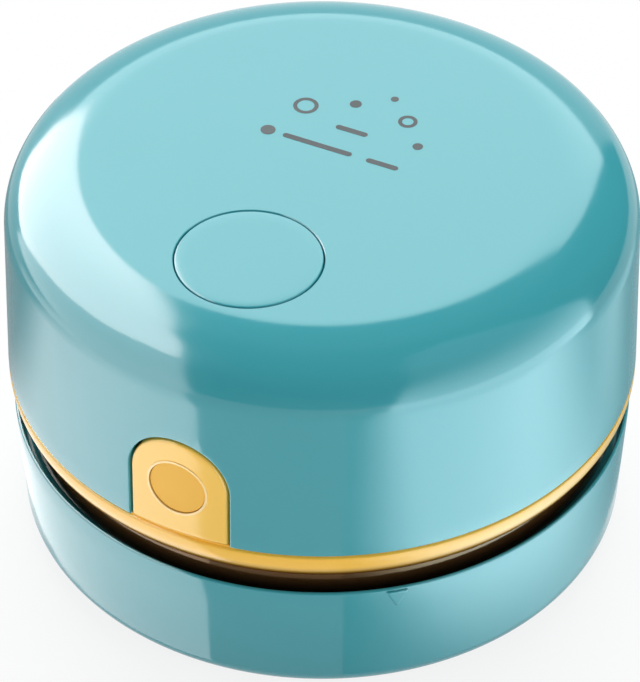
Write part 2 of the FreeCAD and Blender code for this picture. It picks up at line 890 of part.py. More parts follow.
def deck_screws():
    """The screws that hold the deck to the shell's bosses."""
    return Part.Compound([
        screw_up(deck_screw_place, bearing, deck_bottom - screw_head_height, deck_screw_length)
        for bearing in deck_screw_bearings
    ])


def top_shell():
    """The moulded shell, with its bosses, button guide, tab notch, port and grille."""
    hollow = shell_form(shell_wall, cut_over)
    shell = shell_form(0).cut(hollow)
    bore = button_radius + seat_gap
    inner_top = shell_top - shell_wall
    pieces = [tube(bore + guide_wall, bore, guide_bottom, shell_top - shell_wall / 2,
                   0, -button_place)]
    inside = shell_form(shell_wall / 2)
    for bearing in deck_screw_bearings:
        x, y = at_bearing(deck_screw_place, bearing)
        pieces.append(rod(boss_radius, deck_top, inner_top, x, y).common(inside))
    shell = joined(shell, pieces)
    holes = [
        rod(bore, guide_bottom - cut_over, shell_top + cut_over, 0, -button_place),
        tab_form(notch_gap, -(shell_rim_radius + cut_over), -(shell_bore - cut_over)),
        port_form(seat_gap, shell_bore - cut_over, shell_rim_radius + cut_over),
        port_form(seat_gap + port_wall + port_wall, port_mouth, shell_rim_radius + cut_over),
    ]
    for bearing in deck_screw_bearings:
        x, y = at_bearing(deck_screw_place, bearing)
        tip = deck_bottom + deck_screw_length + run_gap
        holes.append(rod(screw_hole, deck_top - cut_over, tip, x, y))
    slot_low = shell_bottom + slot_level
    slot = slab_y(
        -(shell_rim_radius + cut_over), -(shell_bore - cut_over),
        (-slot_width / 2, slot_low + slot_width / 2),
        ((0, slot_low), (slot_width / 2, slot_low + slot_width / 2)),
        (slot_width / 2, slot_low + slot_height - slot_width / 2),
        ((0, slot_low + slot_height), (-slot_width / 2, slot_low + slot_height - slot_width / 2)),
    )
    for index in range(slot_count):
        holes.append(turned(slot, slot_middle + (index - (slot_count - 1) / 2) * slot_pitch))
    return shell.cut(holes)


def port_form(gap, front, back):
    """Return the charge port's rounded outline along Y, widened by a gap."""
    bend = port_height / 2 + gap
    side = port_width / 2 - port_height / 2
    return slab_y(
        front, back,
        (-side, port_z - bend),
        (side, port_z - bend),
        ((side + bend, port_z), (side, port_z + bend)),
        (-side, port_z + bend),
        ((-side - bend, port_z), (-side, port_z - bend)),
    )


def charge_socket():
    """The charge port: a drawn steel mouth with a contact tongue."""
    back = port_mouth - socket_length
    mouth = port_form(0, back, port_mouth)
    mouth = mouth.cut(port_form(-port_wall, back + port_wall * 2, port_mouth + cut_over))
    tongue = block(-tongue_width / 2, tongue_width / 2, back + port_wall,
                   port_mouth - tongue_height, port_z - tongue_height / 2,
                   port_z + tongue_height / 2)
    return mouth.fuse(tongue)


def circuit_board():
    """The board round the motor, cut straight beside the battery."""
    board = tube(board_radius, board_inner, board_bottom, board_top)
    board = board.cut(block(-shell_rim_radius, board_edge, -shell_rim_radius,
                            shell_rim_radius, board_bottom - cut_over, board_top + cut_over))
    holes = []
    for bearing in deck_screw_bearings:
        x, y = at_bearing(deck_screw_place, bearing)
        holes.append(rod(boss_radius + board_gap, board_bottom - cut_over,
                         board_top + cut_over, x, y))
    for bearing in board_screw_bearings:
        x, y = at_bearing(board_screw_place, bearing)
        holes.append(rod(screw_hole, board_bottom - cut_over, board_top + cut_over, x, y))
    return board.cut(holes)


def board_parts():
    """The chips, the coil and the small parts soldered to the board."""
    parts = []
    for across, bearing, length, width, height in chip_shares:
        place = board_inner + (board_radius - board_inner) * across
        x = chip_side * length / 2
        y = chip_side * width / 2
        chip = block(-x, x, -place - y, -place + y, board_top, board_top + chip_side * height)
        parts.append(turned(chip, bearing))
    return Part.Compound(parts)


def board_screws():
    """The screws that hold the board on its posts."""
    return Part.Compound([
        screw_down(board_screw_place, bearing, board_top, board_screw_length)
        for bearing in board_screw_bearings
    ])


def push_switch():
    """The push switch under the power button, with a well for its plunger."""
    half = switch_side / 2
    body = block(-half, half, -button_place - half, -button_place + half,
                 board_top, switch_top)
    well_bottom = switch_top - plunger_depth - button_travel - seat_gap
    well = rod(plunger_radius + run_gap, well_bottom, switch_top + cut_over, 0, -button_place)
    return body.cut(well)


def switch_plunger():
    """The switch's plunger, which the button's stem stands on."""
    return rod(plunger_radius, switch_top - plunger_depth, plunger_top, 0, -button_place)


def power_button():
    """The round button, a cap with a skirt, a keeper rim and a ribbed stem."""
    skirt_bore = button_radius - button_wall
    cap_low = shell_top - button_top
    cap = lathe(
        (0, cap_low),
        (skirt_bore, cap_low),
        (skirt_bore, keeper_bottom),
        (button_radius + keeper_width, keeper_bottom),
        (button_radius + keeper_width, keeper_top),
        (button_radius, keeper_top),
        (button_radius, shell_top - button_edge),
        (on_arc(button_radius - button_edge, shell_top - button_edge, button_edge, 45),
         (button_radius - button_edge, shell_top)),
        (0, shell_top),
    )
    pieces = [rod(stem_radius, plunger_top, shell_top - button_top / 2)]
    rib = block(-stem_rib / 2, stem_rib / 2, -(skirt_bore + button_wall / 2), 0,
                keeper_top, shell_top - button_top / 2)
    for index in range(stem_rib_count):
        pieces.append(turned(rib, index * 360 / stem_rib_count))
    return moved(joined(cap, pieces), 0, -button_place)


def release_tab():
    """The release tab, flush with the shell, with its shelf and latch leg."""
    front = -(shell_rim_radius + cut_over)
    skin = shell_form(0).cut(
        shell_form(tab_thickness, cut_over))
    plate = skin.common(tab_form(0, front, 0))
    half = latch_width / 2
    shelf = block(-half, half, -(shell_bore + tab_thickness / 2), latch_back,
                  tab_bottom, shelf_top)
    leg = block(-half, half, latch_face, latch_back, latch_bottom, shelf_top)
    nose_face = -(band_bore - catch_depth) + nose_clear
    nose_top = catch_bottom - seat_gap
    nose = slab_x(
        latch_width,
        (latch_back, nose_top - nose_height),
        (latch_face, nose_top - nose_height),
        (nose_face, nose_top - nose_height / 3),
        (nose_face, nose_top),
        (latch_back, nose_top),
    )
    nub = rod_y(spring_nub, -(shell_bore + slip_gap), -(shell_bore - spring_nub_length),
                0, spring_z)
    rim_skin = shell_form(-dot_rim_proud).cut(
        shell_form(tab_thickness / 2, cut_over))
    rim = rod_y(dot_radius + dot_rim, front, 0, 0, dot_z).common(rim_skin)
    tab = joined(plate, [shelf, leg, nose, nub, rim])
    recess = rod_y(dot_radius, front, -(shell_rim_radius - dot_depth), 0, dot_z)
    return tab.cut(recess)


def tab_dot():
    """The round inlay of the release tab, flush with its face."""
    inlay = rod_y(dot_radius - run_gap, -(shell_rim_radius + cut_over),
                  -(shell_rim_radius - dot_depth), 0, dot_z)
    return inlay.common(shell_form(0))


def latch_spring():
    """The coil spring that pushes the release tab out."""
    front = -shell_bore + shell_draft * spring_level / shell_height
    length = seat_face - front
    pitch = (length - 2 * spring_wire) / spring_turns
    helix = Part.makeHelix(pitch, pitch * spring_turns, spring_radius)
    start = Vector(spring_radius, 0, 0)
    wire = Part.makeCircle(spring_wire, start, Vector(0, spring_radius * 2 * math.pi, pitch))
    coil = Part.Wire(helix.Edges).makePipeShell([Part.Wire(wire)], True, True)
    coil.rotate(Vector(), Vector(1, 0, 0), -90)
    return moved(outward(coil), 0, front + spring_wire, spring_z)


def blade():
    """Return one backward-curved blade of the impeller."""
    low = wheel_bottom
    high = wheel_plate_bottom + wheel_plate / 2
    outer = wheel_radius - run_gap
    middle = (blade_inner + outer) / 2
    middle_lag = blade_lag * blade_lag_share
    return slab_z(
        low, high,
        at_bearing(blade_inner, 0),
        (at_bearing(middle, -middle_lag), at_bearing(outer, -blade_lag)),
        at_bearing(outer, blade_angle - blade_lag),
        (at_bearing(middle, blade_angle - middle_lag), at_bearing(blade_inner, blade_angle)),
    )


def impeller():
    """The fan wheel: a back plate, a hub, curved blades and a binding ring."""
    plate = rod(wheel_radius, wheel_plate_bottom, wheel_top)
    pieces = [
        rod(hub_radius, wheel_bottom, wheel_top),
        tube(wheel_radius, wheel_radius - binding_width, wheel_bottom,
             wheel_bottom + binding_width),
    ]
    one_blade = blade()
    for index in range(blade_count):
        pieces.append(turned(one_blade, index * 360 / blade_count))
    wheel = joined(plate, pieces)
    return wheel.cut(rod(shaft_radius + fit_gap, wheel_bottom - cut_over, wheel_top + cut_over))


def motor_shaft():
    """The motor's shaft, from the impeller's hub up into the rear bush."""
    return rod(shaft_radius, wheel_bottom, motor_top + rear_bush_height)


def motor_can():
    """The motor's steel can, with a nose that centres it in the deck."""
    bore = shaft_radius * 2
    can = rod(motor_radius, deck_top, motor_top)
    can = can.fuse(rod(motor_nose, deck_bottom + deck_height / 4, deck_top))
    holes = [
        rod(bore, deck_bottom, motor_top + cut_over),
        rod(bush_radius + fit_gap, deck_bottom, deck_bottom + bush_height + deck_height / 4),
    ]
    for bearing in motor_screw_bearings:
        x, y = at_bearing(motor_screw_place, bearing)
        tip = deck_bottom + screw_sink + screw_head_height + motor_screw_length + run_gap
        holes.append(rod(screw_hole, deck_top - cut_over, tip, x, y))
    return can.cut(holes)


def motor_cap():
    """The motor's end cap with its two terminals."""
    cap = rod(motor_radius - motor_cap_step, motor_top, cap_top)
    pieces = []
    for x in (-terminal_place, terminal_place):
        y = terminal_place
        pieces.append(block(
            x - terminal_width / 2, x + terminal_width / 2,
            y - terminal_thickness / 2, y + terminal_thickness / 2,
            motor_top, cap_top + terminal_height))
    cap = joined(cap, pieces)
    well = rod(bush_radius + fit_gap, motor_top - cut_over, motor_top + rear_bush_height)
    return cap.cut(well)


def motor_bushes():
    """The two bronze bushes that the shaft turns in."""
    bore = shaft_radius + run_gap
    low = deck_bottom + deck_height / 4
    front = tube(bush_radius, bore, low, low + bush_height)
    rear = tube(bush_radius, bore, motor_top, motor_top + rear_bush_height)
    return Part.Compound([front, rear])


def motor_screws():
    """The two screws that hold the motor to the deck."""
    return Part.Compound([
        screw_up(motor_screw_place, bearing, deck_bottom + screw_sink, motor_screw_length)
        for bearing in motor_screw_bearings
    ])


def battery_cell():
    """The rechargeable cell, lying in the deck's saddles."""
    half = battery_length / 2
    return rod_y(battery_radius, -half, half, battery_x, battery_z)


def battery_tabs():
    """The welded strips on the cell's two ends."""
    half = battery_length / 2
    strips = []
    for front in (-half - tab_strip_thickness, half):
        strips.append(block(
            battery_x - tab_strip_width / 2, battery_x + tab_strip_width / 2,
            front, front + tab_strip_thickness,
            battery_z - tab_strip_height / 2, battery_z + tab_strip_height / 2))
    return Part.Compound(strips)


def battery_pad():
    """The foam pad between the cell and the shell's top."""
    half = battery_length / 2 * pad_length_share
    pad = block(battery_x - pad_width / 2, battery_x + pad_width / 2, -half, half,
                battery_z, shell_top - shell_wall)
    round_cell = rod_y(battery_radius + run_gap, -battery_length, battery_length,
                       battery_x, battery_z)
    return pad.cut(round_cell)


def filter_frame():
    """The filter's frame, which plugs into the fan cover's socket."""
    top = cover_bottom - seat_gap
    rim_top = socket_bottom - seat_gap
    rim_low = rim_top - frame_rim
    frame = lathe(
        (frame_bore, rim_low),
        (frame_radius + frame_rim_width, rim_low),
        (frame_radius + frame_rim_width, rim_top),
        (frame_radius, rim_top),
        (frame_radius, top),
        (frame_bore, top),
    )
    pieces = []
    for bearing in (0, 90):
        bar = block(-rib_width / 2, rib_width / 2, -(frame_bore + frame_wall / 2),
                    frame_bore + frame_wall / 2, rim_low, rim_top)
        pieces.append(turned(bar, bearing))
    for ring_share in frame_ring_shares:
        radius = frame_bore * ring_share
        pieces.append(tube(radius + rib_width / 2, radius - rib_width / 2, rim_low, rim_top))
    pieces.append(block(-pull_width / 2, pull_width / 2, -pull_depth / 2, pull_depth / 2,
                        rim_low - pull_height, rim_top))
    return joined(frame, pieces)


def filter_pad():
    """The round filter pad that lies on the frame's bars."""
    return rod(frame_bore - slip_gap, socket_bottom - seat_gap, cover_bottom - 2 * seat_gap)


def lead(points):
    """Return a wire along straight runs that are joined by tangent arcs."""
    places = [Vector(*point) for point in points]
    edges = []
    here = places[0]
    for before, corner, after in zip(places, places[1:], places[2:]):
        into = (corner - before).normalize()
        away = (after - corner).normalize()
        half_turn = into.getAngle(away) / 2
        back = lead_bend * math.tan(half_turn)
        first = corner - into * back
        last = corner + away * back
        bisector = (away - into).normalize()
        depth = lead_bend / math.cos(half_turn) - lead_bend
        edges.append(Part.LineSegment(here, first).toShape())
        edges.append(Part.Arc(first, corner + bisector * depth, last).toShape())
        here = last
    edges.append(Part.LineSegment(here, places[-1]).toShape())
    section = Part.makeCircle(lead_radius, places[0], places[1] - places[0])
    return outward(Part.Wire(edges).makePipeShell([Part.Wire(section)], True, True))


def motor_leads():
    """The two leads from the motor's terminals to the board."""
    leads = []
    top = cap_top + lead_rise
    reach = (board_inner + board_radius) / 2
    for side in (-1, 1):
        x = side * terminal_place
        y = terminal_place + terminal_thickness / 2 + lead_radius
        leads.append(lead([
            (x, y, cap_top),
            (x, y, top),
            (x + board_gap, reach, top),
            (x + board_gap, reach, board_top),
        ]))
    return Part.Compound(leads)


def battery_leads():
    """The two leads from the cell's strips to the board."""
    leads = []
    y = battery_length / 2 + tab_strip_thickness + lead_radius
    across = board_edge + board_left / 2
    for side in (-1, 1):
        leads.append(lead([
            (battery_x, side * y, battery_z),
            (across, side * y, battery_z),
            (across, side * y, board_top),
        ]))
    return Part.Compound(leads)


def main():
    """Build every piece and write one file for each."""
    makers = (
        base_ring, base_plate, brush_holder, bristles, feet, base_screws,
        dust_cup, inlet_duct,
        top_shell, trim_ring, cup_seal, fan_cover, cover_screws, fan_deck, deck_screws,
        motor_can, motor_cap, motor_bushes, motor_screws, motor_leads,
        battery_cell, battery_tabs, battery_pad, battery_leads,
        circuit_board, board_parts, board_screws, push_switch, charge_socket,
        power_button, switch_plunger,
        release_tab, tab_dot, latch_spring,
        impeller, motor_shaft,
        filter_frame, filter_pad,
    )
    os.makedirs("parts", exist_ok=True)
    for maker in makers:
        shape = maker()
        name = maker.__name__
        shape.exportStep("parts/" + name + ".step")
        print(name, "solids", len(shape.Solids), "valid", shape.isValid(),
              "volume", round(shape.Volume, 1))


main()
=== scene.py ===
"""Looks of a desktop mini vacuum cleaner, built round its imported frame."""

import logging
import math
from dataclasses import dataclass
from enum import Enum
from typing import Callable, Sequence

import bmesh
import bpy
from mathutils import Matrix, Vector


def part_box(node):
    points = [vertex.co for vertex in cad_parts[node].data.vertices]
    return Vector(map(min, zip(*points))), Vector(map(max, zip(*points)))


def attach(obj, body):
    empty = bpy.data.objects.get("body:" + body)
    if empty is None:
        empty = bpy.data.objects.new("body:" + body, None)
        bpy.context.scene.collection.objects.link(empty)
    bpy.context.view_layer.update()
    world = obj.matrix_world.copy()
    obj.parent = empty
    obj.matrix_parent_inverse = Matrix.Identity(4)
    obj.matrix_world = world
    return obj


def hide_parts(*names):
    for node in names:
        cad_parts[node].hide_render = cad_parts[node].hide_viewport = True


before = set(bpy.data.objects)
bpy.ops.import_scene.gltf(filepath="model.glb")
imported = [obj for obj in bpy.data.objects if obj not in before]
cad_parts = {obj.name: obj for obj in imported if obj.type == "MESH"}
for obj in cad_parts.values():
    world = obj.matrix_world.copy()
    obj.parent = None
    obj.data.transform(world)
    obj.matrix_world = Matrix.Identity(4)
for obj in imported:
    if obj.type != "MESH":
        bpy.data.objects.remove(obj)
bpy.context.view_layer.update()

LOG = logging.getLogger("desk_vacuum")
MM = 0.001
FULL_TURN = 2 * math.pi
ROUND_STEPS = 5
WIDE_STEPS = 4 * ROUND_STEPS
WIDE_ROUND = 2 * MM
FINE_ROUND = 0.2 * MM
WALL_FACES = 256
BUTTON_FACES = 160
GUIDE_FACES = 128
STEM_FACES = 48
POST_FACES = 40
ON_AXIS = 1e-9
WELD = 0.0005 * MM
SMOOTH_ANGLE = math.radians(32)
BLOCK_EDGE = 0.12 * MM
NOISE_RANGE = (0.3, 0.7)
MIX_FACTOR, MIX_FIRST, MIX_SECOND, MIX_RESULT = 0, 6, 7, 2
HAIR_SIDES = 5
HAIR_TIP = 0.4
HAIR_SHORTEST = 0.9

Colour = tuple[float, float, float, float]
Outline = Callable[[float], list[tuple[float, float]]]


def grey(value: float) -> Colour:
    """Return a neutral colour of one value."""
    return (value, value, value, 1.0)


def from_screen(red: int, green: int, blue: int) -> Colour:
    """Return the linear colour of a screen colour.

    Args:
        red: The red value from 0 to 255.
        green: The green value from 0 to 255.
        blue: The blue value from 0 to 255.

    Returns:
        The colour as the shaders need it, with an alpha of 1.
    """
    def linear(value: int) -> float:
        share = value / 255
        return share / 12.92 if share <= 0.04045 else ((share + 0.055) / 1.055) ** 2.4
    return (linear(red), linear(green), linear(blue), 1.0)


class ShaderDesk:
    """A new material and the few calls that fill its node tree."""

    def __init__(self, name: str) -> None:
        """Make an empty material with an output and object coordinates."""
        self.material = bpy.data.materials.new(name)
        self.material.use_nodes = True
        self.tree = self.material.node_tree
        self.tree.nodes.clear()
        self.output = self.node("ShaderNodeOutputMaterial")
        self.place = self.node("ShaderNodeTexCoord").outputs["Object"]

    def node(self, kind: str, **values: object) -> bpy.types.Node:
        """Add a node and set its sockets.

        Args:
            kind: The node's type name.
            values: Socket names, with _ for a space, and their values.

        Returns:
            The new node.
        """
        made = self.tree.nodes.new(kind)
        for name, value in values.items():
            made.inputs[name.replace("_", " ")].default_value = value
        return made

    def link(self, source: bpy.types.NodeSocket, target: bpy.types.NodeSocket) -> None:
        """Join two sockets."""
        self.tree.links.new(source, target)

    def feed(self, source: object, target: bpy.types.NodeSocket) -> None:
        """Join a socket to a target, or set the target to a value."""
        if isinstance(source, bpy.types.NodeSocket):
            self.link(source, target)
        else:
            target.default_value = source

    def noise(self, size: float, detail: float = 3.0) -> bpy.types.NodeSocket:
        """Return noise whose spots are about a size across."""
        made = self.node("ShaderNodeTexNoise", Scale=1.0 / size, Detail=detail)
        self.link(self.place, made.inputs["Vector"])
        return made.outputs["Fac"]

    def ranged(self, source: bpy.types.NodeSocket, span: tuple[float, float],
               low: float, high: float, smooth: bool = False) -> bpy.types.NodeSocket:
        """Return a source's span stretched from a low to a high value.

        Args:
            source: The socket that is stretched.
            span: Where it starts and ends.
            low: The value at the start.
            high: The value at the end.
            smooth: True for a rise that starts and ends gently.

        Returns:
            The stretched socket.
        """
        made = self.node("ShaderNodeMapRange", From_Min=span[0], From_Max=span[1],
                         To_Min=low, To_Max=high)
        if smooth:
            made.interpolation_type = "SMOOTHSTEP"
        self.link(source, made.inputs["Value"])
        return made.outputs["Result"]

    def spread(self, source: bpy.types.NodeSocket, middle: float, less: float,
               more: float) -> bpy.types.NodeSocket:
        """Return noise as values round a middle one, from a lesser to a greater share of it."""
        return self.ranged(source, NOISE_RANGE, middle * less, middle * more)

    def climb(self, span: tuple[float, float]) -> bpy.types.NodeSocket:
        """Return 0 below a span of heights, 1 above it and a smooth rise between."""
        parts = self.node("ShaderNodeSeparateXYZ")
        self.link(self.place, parts.inputs[0])
        return self.ranged(parts.outputs["Z"], span, 0.0, 1.0, True)

    def blend(self, factor: bpy.types.NodeSocket, first: object,
              second: object) -> bpy.types.NodeSocket:
        """Return a mix of two colours, each a colour or a socket."""
        made = self.node("ShaderNodeMix")
        made.data_type = "RGBA"
        self.link(factor, made.inputs[MIX_FACTOR])
        self.feed(first, made.inputs[MIX_FIRST])
        self.feed(second, made.inputs[MIX_SECOND])
        return made.outputs[MIX_RESULT]

    def scaled(self, source: bpy.types.NodeSocket, factor: object) -> bpy.types.NodeSocket:
        """Return a source times a value or another socket."""
        made = self.node("ShaderNodeMath")
        made.operation = "MULTIPLY"
        self.link(source, made.inputs[0])
        self.feed(factor, made.inputs[1])
        return made.outputs[0]

    def relief(self, height: bpy.types.NodeSocket, depth: float) -> bpy.types.NodeSocket:
        """Return normals that follow a height."""
        made = self.node("ShaderNodeBump", Strength=1.0, Distance=depth)
        self.link(height, made.inputs["Height"])
        return made.outputs["Normal"]


@dataclass(frozen=True)
class Moulded:
    """A moulded plastic: its colour, gloss and the fine texture of its tool.

    Over the heights of its foot the colour and the shine rise from a painted shade: a dark colour
    and a weaker shine that stand in for the shade in a recess.
    """

    name: str
    colour: Colour
    roughness: float = 0.3
    grain: float = 0.3 * MM
    grain_depth: float = 0.001 * MM
    tone: float = 0.03
    shine: float = 0.5
    # The foot's heights, and the colour of the painted shade below them, which stands in for
    # shade in a recess.
    foot: tuple[float, float] | None = None
    painted_shade_colour: Colour = grey(0.0)
    cloud: float = 18 * MM
    wear: float = 5 * MM
    wear_range: tuple[float, float] = (0.92, 1.08)

    def make(self) -> bpy.types.Material:
        """Return the material."""
        desk = ShaderDesk(self.name)
        shader = desk.node("ShaderNodeBsdfPrincipled", Specular_IOR_Level=self.shine)
        cloud = desk.noise(self.cloud)
        darker = tuple(value * (1 - self.tone) for value in self.colour[:3]) + (1.0,)
        colour = desk.blend(cloud, self.colour, darker)
        # Painted shade: towards the foot the colour blends to the painted shade colour and the
        # shine falls, standing in for shade.
        if self.foot:
            rise = desk.climb(self.foot)
            colour = desk.blend(rise, self.painted_shade_colour, colour)
            desk.link(desk.scaled(rise, self.shine), shader.inputs["Specular IOR Level"])
        desk.link(colour, shader.inputs["Base Color"])
        rough = desk.spread(desk.noise(self.wear), self.roughness, *self.wear_range)
        desk.link(rough, shader.inputs["Roughness"])
        bump = desk.relief(desk.noise(self.grain), self.grain_depth)
        desk.link(bump, shader.inputs["Normal"])
        desk.link(shader.outputs["BSDF"], desk.output.inputs["Surface"])
        return desk.material


@dataclass(frozen=True)
class Clear:
    """A see-through moulded plastic with a smoky tint, and a painted shade below its foot."""

    name: str
    colour: Colour
    roughness: float = 0.06
    shine: float = 0.5
    gloss_tint: Colour = grey(1.0)
    clarity: float = 0.85
    # The foot's heights, and the colour of the painted shade below them, which stands in for
    # shade in a recess.
    foot: tuple[float, float] | None = None
    painted_shade_colour: Colour = grey(0.0)
    index: float = 1.49
    tone: float = 0.92
    cloud: float = 12 * MM
    wear: float = 3 * MM
    wear_range: tuple[float, float] = (0.7, 1.4)

    def make(self) -> bpy.types.Material:
        """Return the material."""
        desk = ShaderDesk(self.name)
        shader = desk.node("ShaderNodeBsdfPrincipled", Transmission_Weight=self.clarity,
                           IOR=self.index,
                           Specular_IOR_Level=self.shine, Specular_Tint=self.gloss_tint)
        cloud = desk.noise(self.cloud)
        darker = tuple(value * self.tone for value in self.colour[:3]) + (1.0,)
        colour = desk.blend(cloud, self.colour, darker)
        # Painted shade: towards the foot the colour blends to the painted shade colour, standing
        # in for shade.
        if self.foot:
            colour = desk.blend(desk.climb(self.foot), self.painted_shade_colour, colour)
        desk.link(colour, shader.inputs["Base Color"])
        rough = desk.spread(desk.noise(self.wear), self.roughness, *self.wear_range)
        desk.link(rough, shader.inputs["Roughness"])
        desk.link(shader.outputs["BSDF"], desk.output.inputs["Surface"])
        return desk.material


@dataclass(frozen=True)
class Metal:
    """A plated or drawn metal with fine scratches."""

    name: str
    colour: Colour
    roughness: float = 0.28
    tone: float = 0.8
    scratch: float = 0.6 * MM
    scratch_depth: float = 0.003 * MM
    scratch_length: float = 12.0
    wear_range: tuple[float, float] = (0.7, 1.4)

    def make(self) -> bpy.types.Material:
        """Return the material."""
        desk = ShaderDesk(self.name)
        shader = desk.node("ShaderNodeBsdfPrincipled", Metallic=1.0)
        stretch = desk.node("ShaderNodeMapping", Scale=(1.0, 1.0, self.scratch_length))
        desk.link(desk.place, stretch.inputs["Vector"])
        lines = desk.node("ShaderNodeTexNoise", Scale=1 / self.scratch, Detail=4.0)
        desk.link(stretch.outputs["Vector"], lines.inputs["Vector"])
        darker = tuple(value * self.tone for value in self.colour[:3]) + (1.0,)
        desk.link(desk.blend(lines.outputs["Fac"], self.colour, darker),
                  shader.inputs["Base Color"])
        rough = desk.spread(lines.outputs["Fac"], self.roughness, *self.wear_range)
        desk.link(rough, shader.inputs["Roughness"])
        desk.link(desk.relief(lines.outputs["Fac"], self.scratch_depth),
                  shader.inputs["Normal"])
        desk.link(shader.outputs["BSDF"], desk.output.inputs["Surface"])
        return desk.material


@dataclass(frozen=True)
class Fibrous:
    """A felt, foam or brush fibre with a soft sheen."""

    name: str
    colour: Colour
    fibre: float = 0.25 * MM
    depth: float = 0.05 * MM
    sheen: float = 0.3
    roughness: float = 0.85
    tone: float = 0.6

    def make(self) -> bpy.types.Material:
        """Return the material."""
        desk = ShaderDesk(self.name)
        shader = desk.node("ShaderNodeBsdfPrincipled", Roughness=self.roughness,
                           Sheen_Weight=self.sheen)
        fibres = desk.noise(self.fibre, 6.0)
        darker = tuple(value * self.tone for value in self.colour[:3]) + (1.0,)
        desk.link(desk.blend(fibres, self.colour, darker), shader.inputs["Base Color"])
        desk.link(desk.relief(fibres, self.depth), shader.inputs["Normal"])
        desk.link(shader.outputs["BSDF"], desk.output.inputs["Surface"])
        return desk.material


class Finish(Enum):
    """The finishes of the cleaner, one for each kind of part."""

    AQUA = Moulded("aqua_plastic", from_screen(64, 159, 170), 0.13)
    AMBER = Moulded("amber_plastic", from_screen(255, 205, 90), 0.18, shine=0.42)
    # The trim's colour and shine fall to a painted shade below 25.4 mm, standing in for the shade
    # on the underside of its bead.
    TRIM = Moulded("amber_trim_plastic", from_screen(255, 200, 78), 0.18, shine=0.36,
                   foot=(23.2 * MM, 25.4 * MM), painted_shade_colour=from_screen(74, 40, 8))
    AMBER_DOT = Moulded("amber_dot_plastic", from_screen(248, 192, 84), 0.5, shine=0.15)
    AMBER_PALE = Moulded("amber_pale_plastic", from_screen(255, 222, 150), 0.25)
    INK = Moulded("dark_ink", from_screen(34, 44, 48), 0.6)
    # The cup's colour falls to a painted shade below 23.6 mm, standing in for the shade in the
    # groove under the trim.
    SMOKE = Clear("smoked_clear_plastic", from_screen(146, 100, 50), shine=0.4,
                  gloss_tint=from_screen(255, 200, 135), clarity=0.6,
                  foot=(20.2 * MM, 23.6 * MM), painted_shade_colour=from_screen(58, 40, 24))
    GREY = Moulded("grey_plastic", from_screen(112, 118, 121), 0.5, 0.5 * MM, 0.012 * MM)
    BLACK = Moulded("black_plastic", from_screen(34, 34, 36), 0.5, 0.5 * MM, 0.01 * MM)
    WHITE = Moulded("white_plastic", from_screen(226, 226, 222), 0.45, 0.5 * MM, 0.01 * MM)
    RUBBER = Moulded("soft_rubber", from_screen(40, 40, 42), 0.8, 0.3 * MM, 0.02 * MM)
    BOARD = Moulded("board_mask", from_screen(28, 96, 62), 0.35, 1.0 * MM, 0.006 * MM)
    WRAP = Moulded("cell_sleeve", from_screen(58, 120, 168), 0.3)
    LEAD = Moulded("lead_sleeve", from_screen(170, 40, 34), 0.45)
    BRONZE = Metal("bush_bronze", from_screen(190, 150, 96), 0.4)
    STEEL = Metal("plated_steel", from_screen(196, 198, 200), 0.26)
    FIBRE = Fibrous("brush_fibre", from_screen(38, 38, 40), 0.2 * MM, 0.01 * MM, 0.15)
    FELT = Fibrous("filter_felt", from_screen(224, 222, 214))
    FOAM = Fibrous("dark_foam", from_screen(60, 60, 62), 0.6 * MM, 0.1 * MM, 0.1)

    @property
    def material(self) -> bpy.types.Material:
        """The finish's material, made once."""
        return bpy.data.materials.get(self.value.name) or self.value.make()


@dataclass(frozen=True)
class Corner:
    """A corner of a spun outline: its radius, its height and how round it is."""

    r: float
    z: float
    bend: float = 0.0


def softened(corners: Sequence[Corner]) -> list[tuple[float, float]]:
    """Draw an outline's round corners as arcs.

    Args:
        corners: The outline's corners in order.

    Returns:
        The outline's points as radius and height.
    """
    points: list[tuple[float, float]] = []
    for index, corner in enumerate(corners):
        here = Vector((corner.r, corner.z))
        if corner.bend <= 0:
            points.append((here.x, here.y))
            continue
        last = corners[index - 1]
        following = corners[(index + 1) % len(corners)]
        into = (Vector((last.r, last.z)) - here).normalized()
        away = (Vector((following.r, following.z)) - here).normalized()
        half = into.angle(away) / 2
        centre = here + (into + away).normalized() * (corner.bend / math.sin(half))
        start = here + into * (corner.bend / math.tan(half)) - centre
        end = here + away * (corner.bend / math.tan(half)) - centre
        first = math.atan2(start.y, start.x)
        sweep = math.remainder(math.atan2(end.y, end.x) - first, FULL_TURN)
        count = ROUND_STEPS if corner.bend < WIDE_ROUND else WIDE_STEPS
        for step in range(count + 1):
            angle = first + sweep * step / count
            points.append((centre.x + corner.bend * math.cos(angle),
                           centre.y + corner.bend * math.sin(angle)))
    return points


def placed(name: str, data: bpy.types.ID) -> bpy.types.Object:
    """Put a mesh, a light or a camera in the scene."""
    thing = bpy.data.objects.new(name, data)
    bpy.context.scene.collection.objects.link(thing)
    return thing


def smooth(piece: bpy.types.Object) -> bpy.types.Object:
    """Shade a piece smooth but for its sharp edges."""
    piece.data.polygons.foreach_set("use_smooth", [True] * len(piece.data.polygons))
    piece.data.set_sharp_from_angle(angle=SMOOTH_ANGLE)
    piece.data.update()
    return piece


def meshed(name: str, mesh: bmesh.types.BMesh) -> bpy.types.Object:
    """Turn a built mesh into a smooth-shaded object."""
    data = bpy.data.meshes.new(name)
    mesh.to_mesh(data)
    mesh.free()
    return smooth(placed(name, data))


def as_piece(name: str, mesh: bmesh.types.BMesh) -> bpy.types.Object:
    """Turn a built mesh into an object with joined corners and outward faces."""
    bmesh.ops.remove_doubles(mesh, verts=mesh.verts, dist=WELD)
    bmesh.ops.recalc_face_normals(mesh, faces=mesh.faces)
    return meshed(name, mesh)


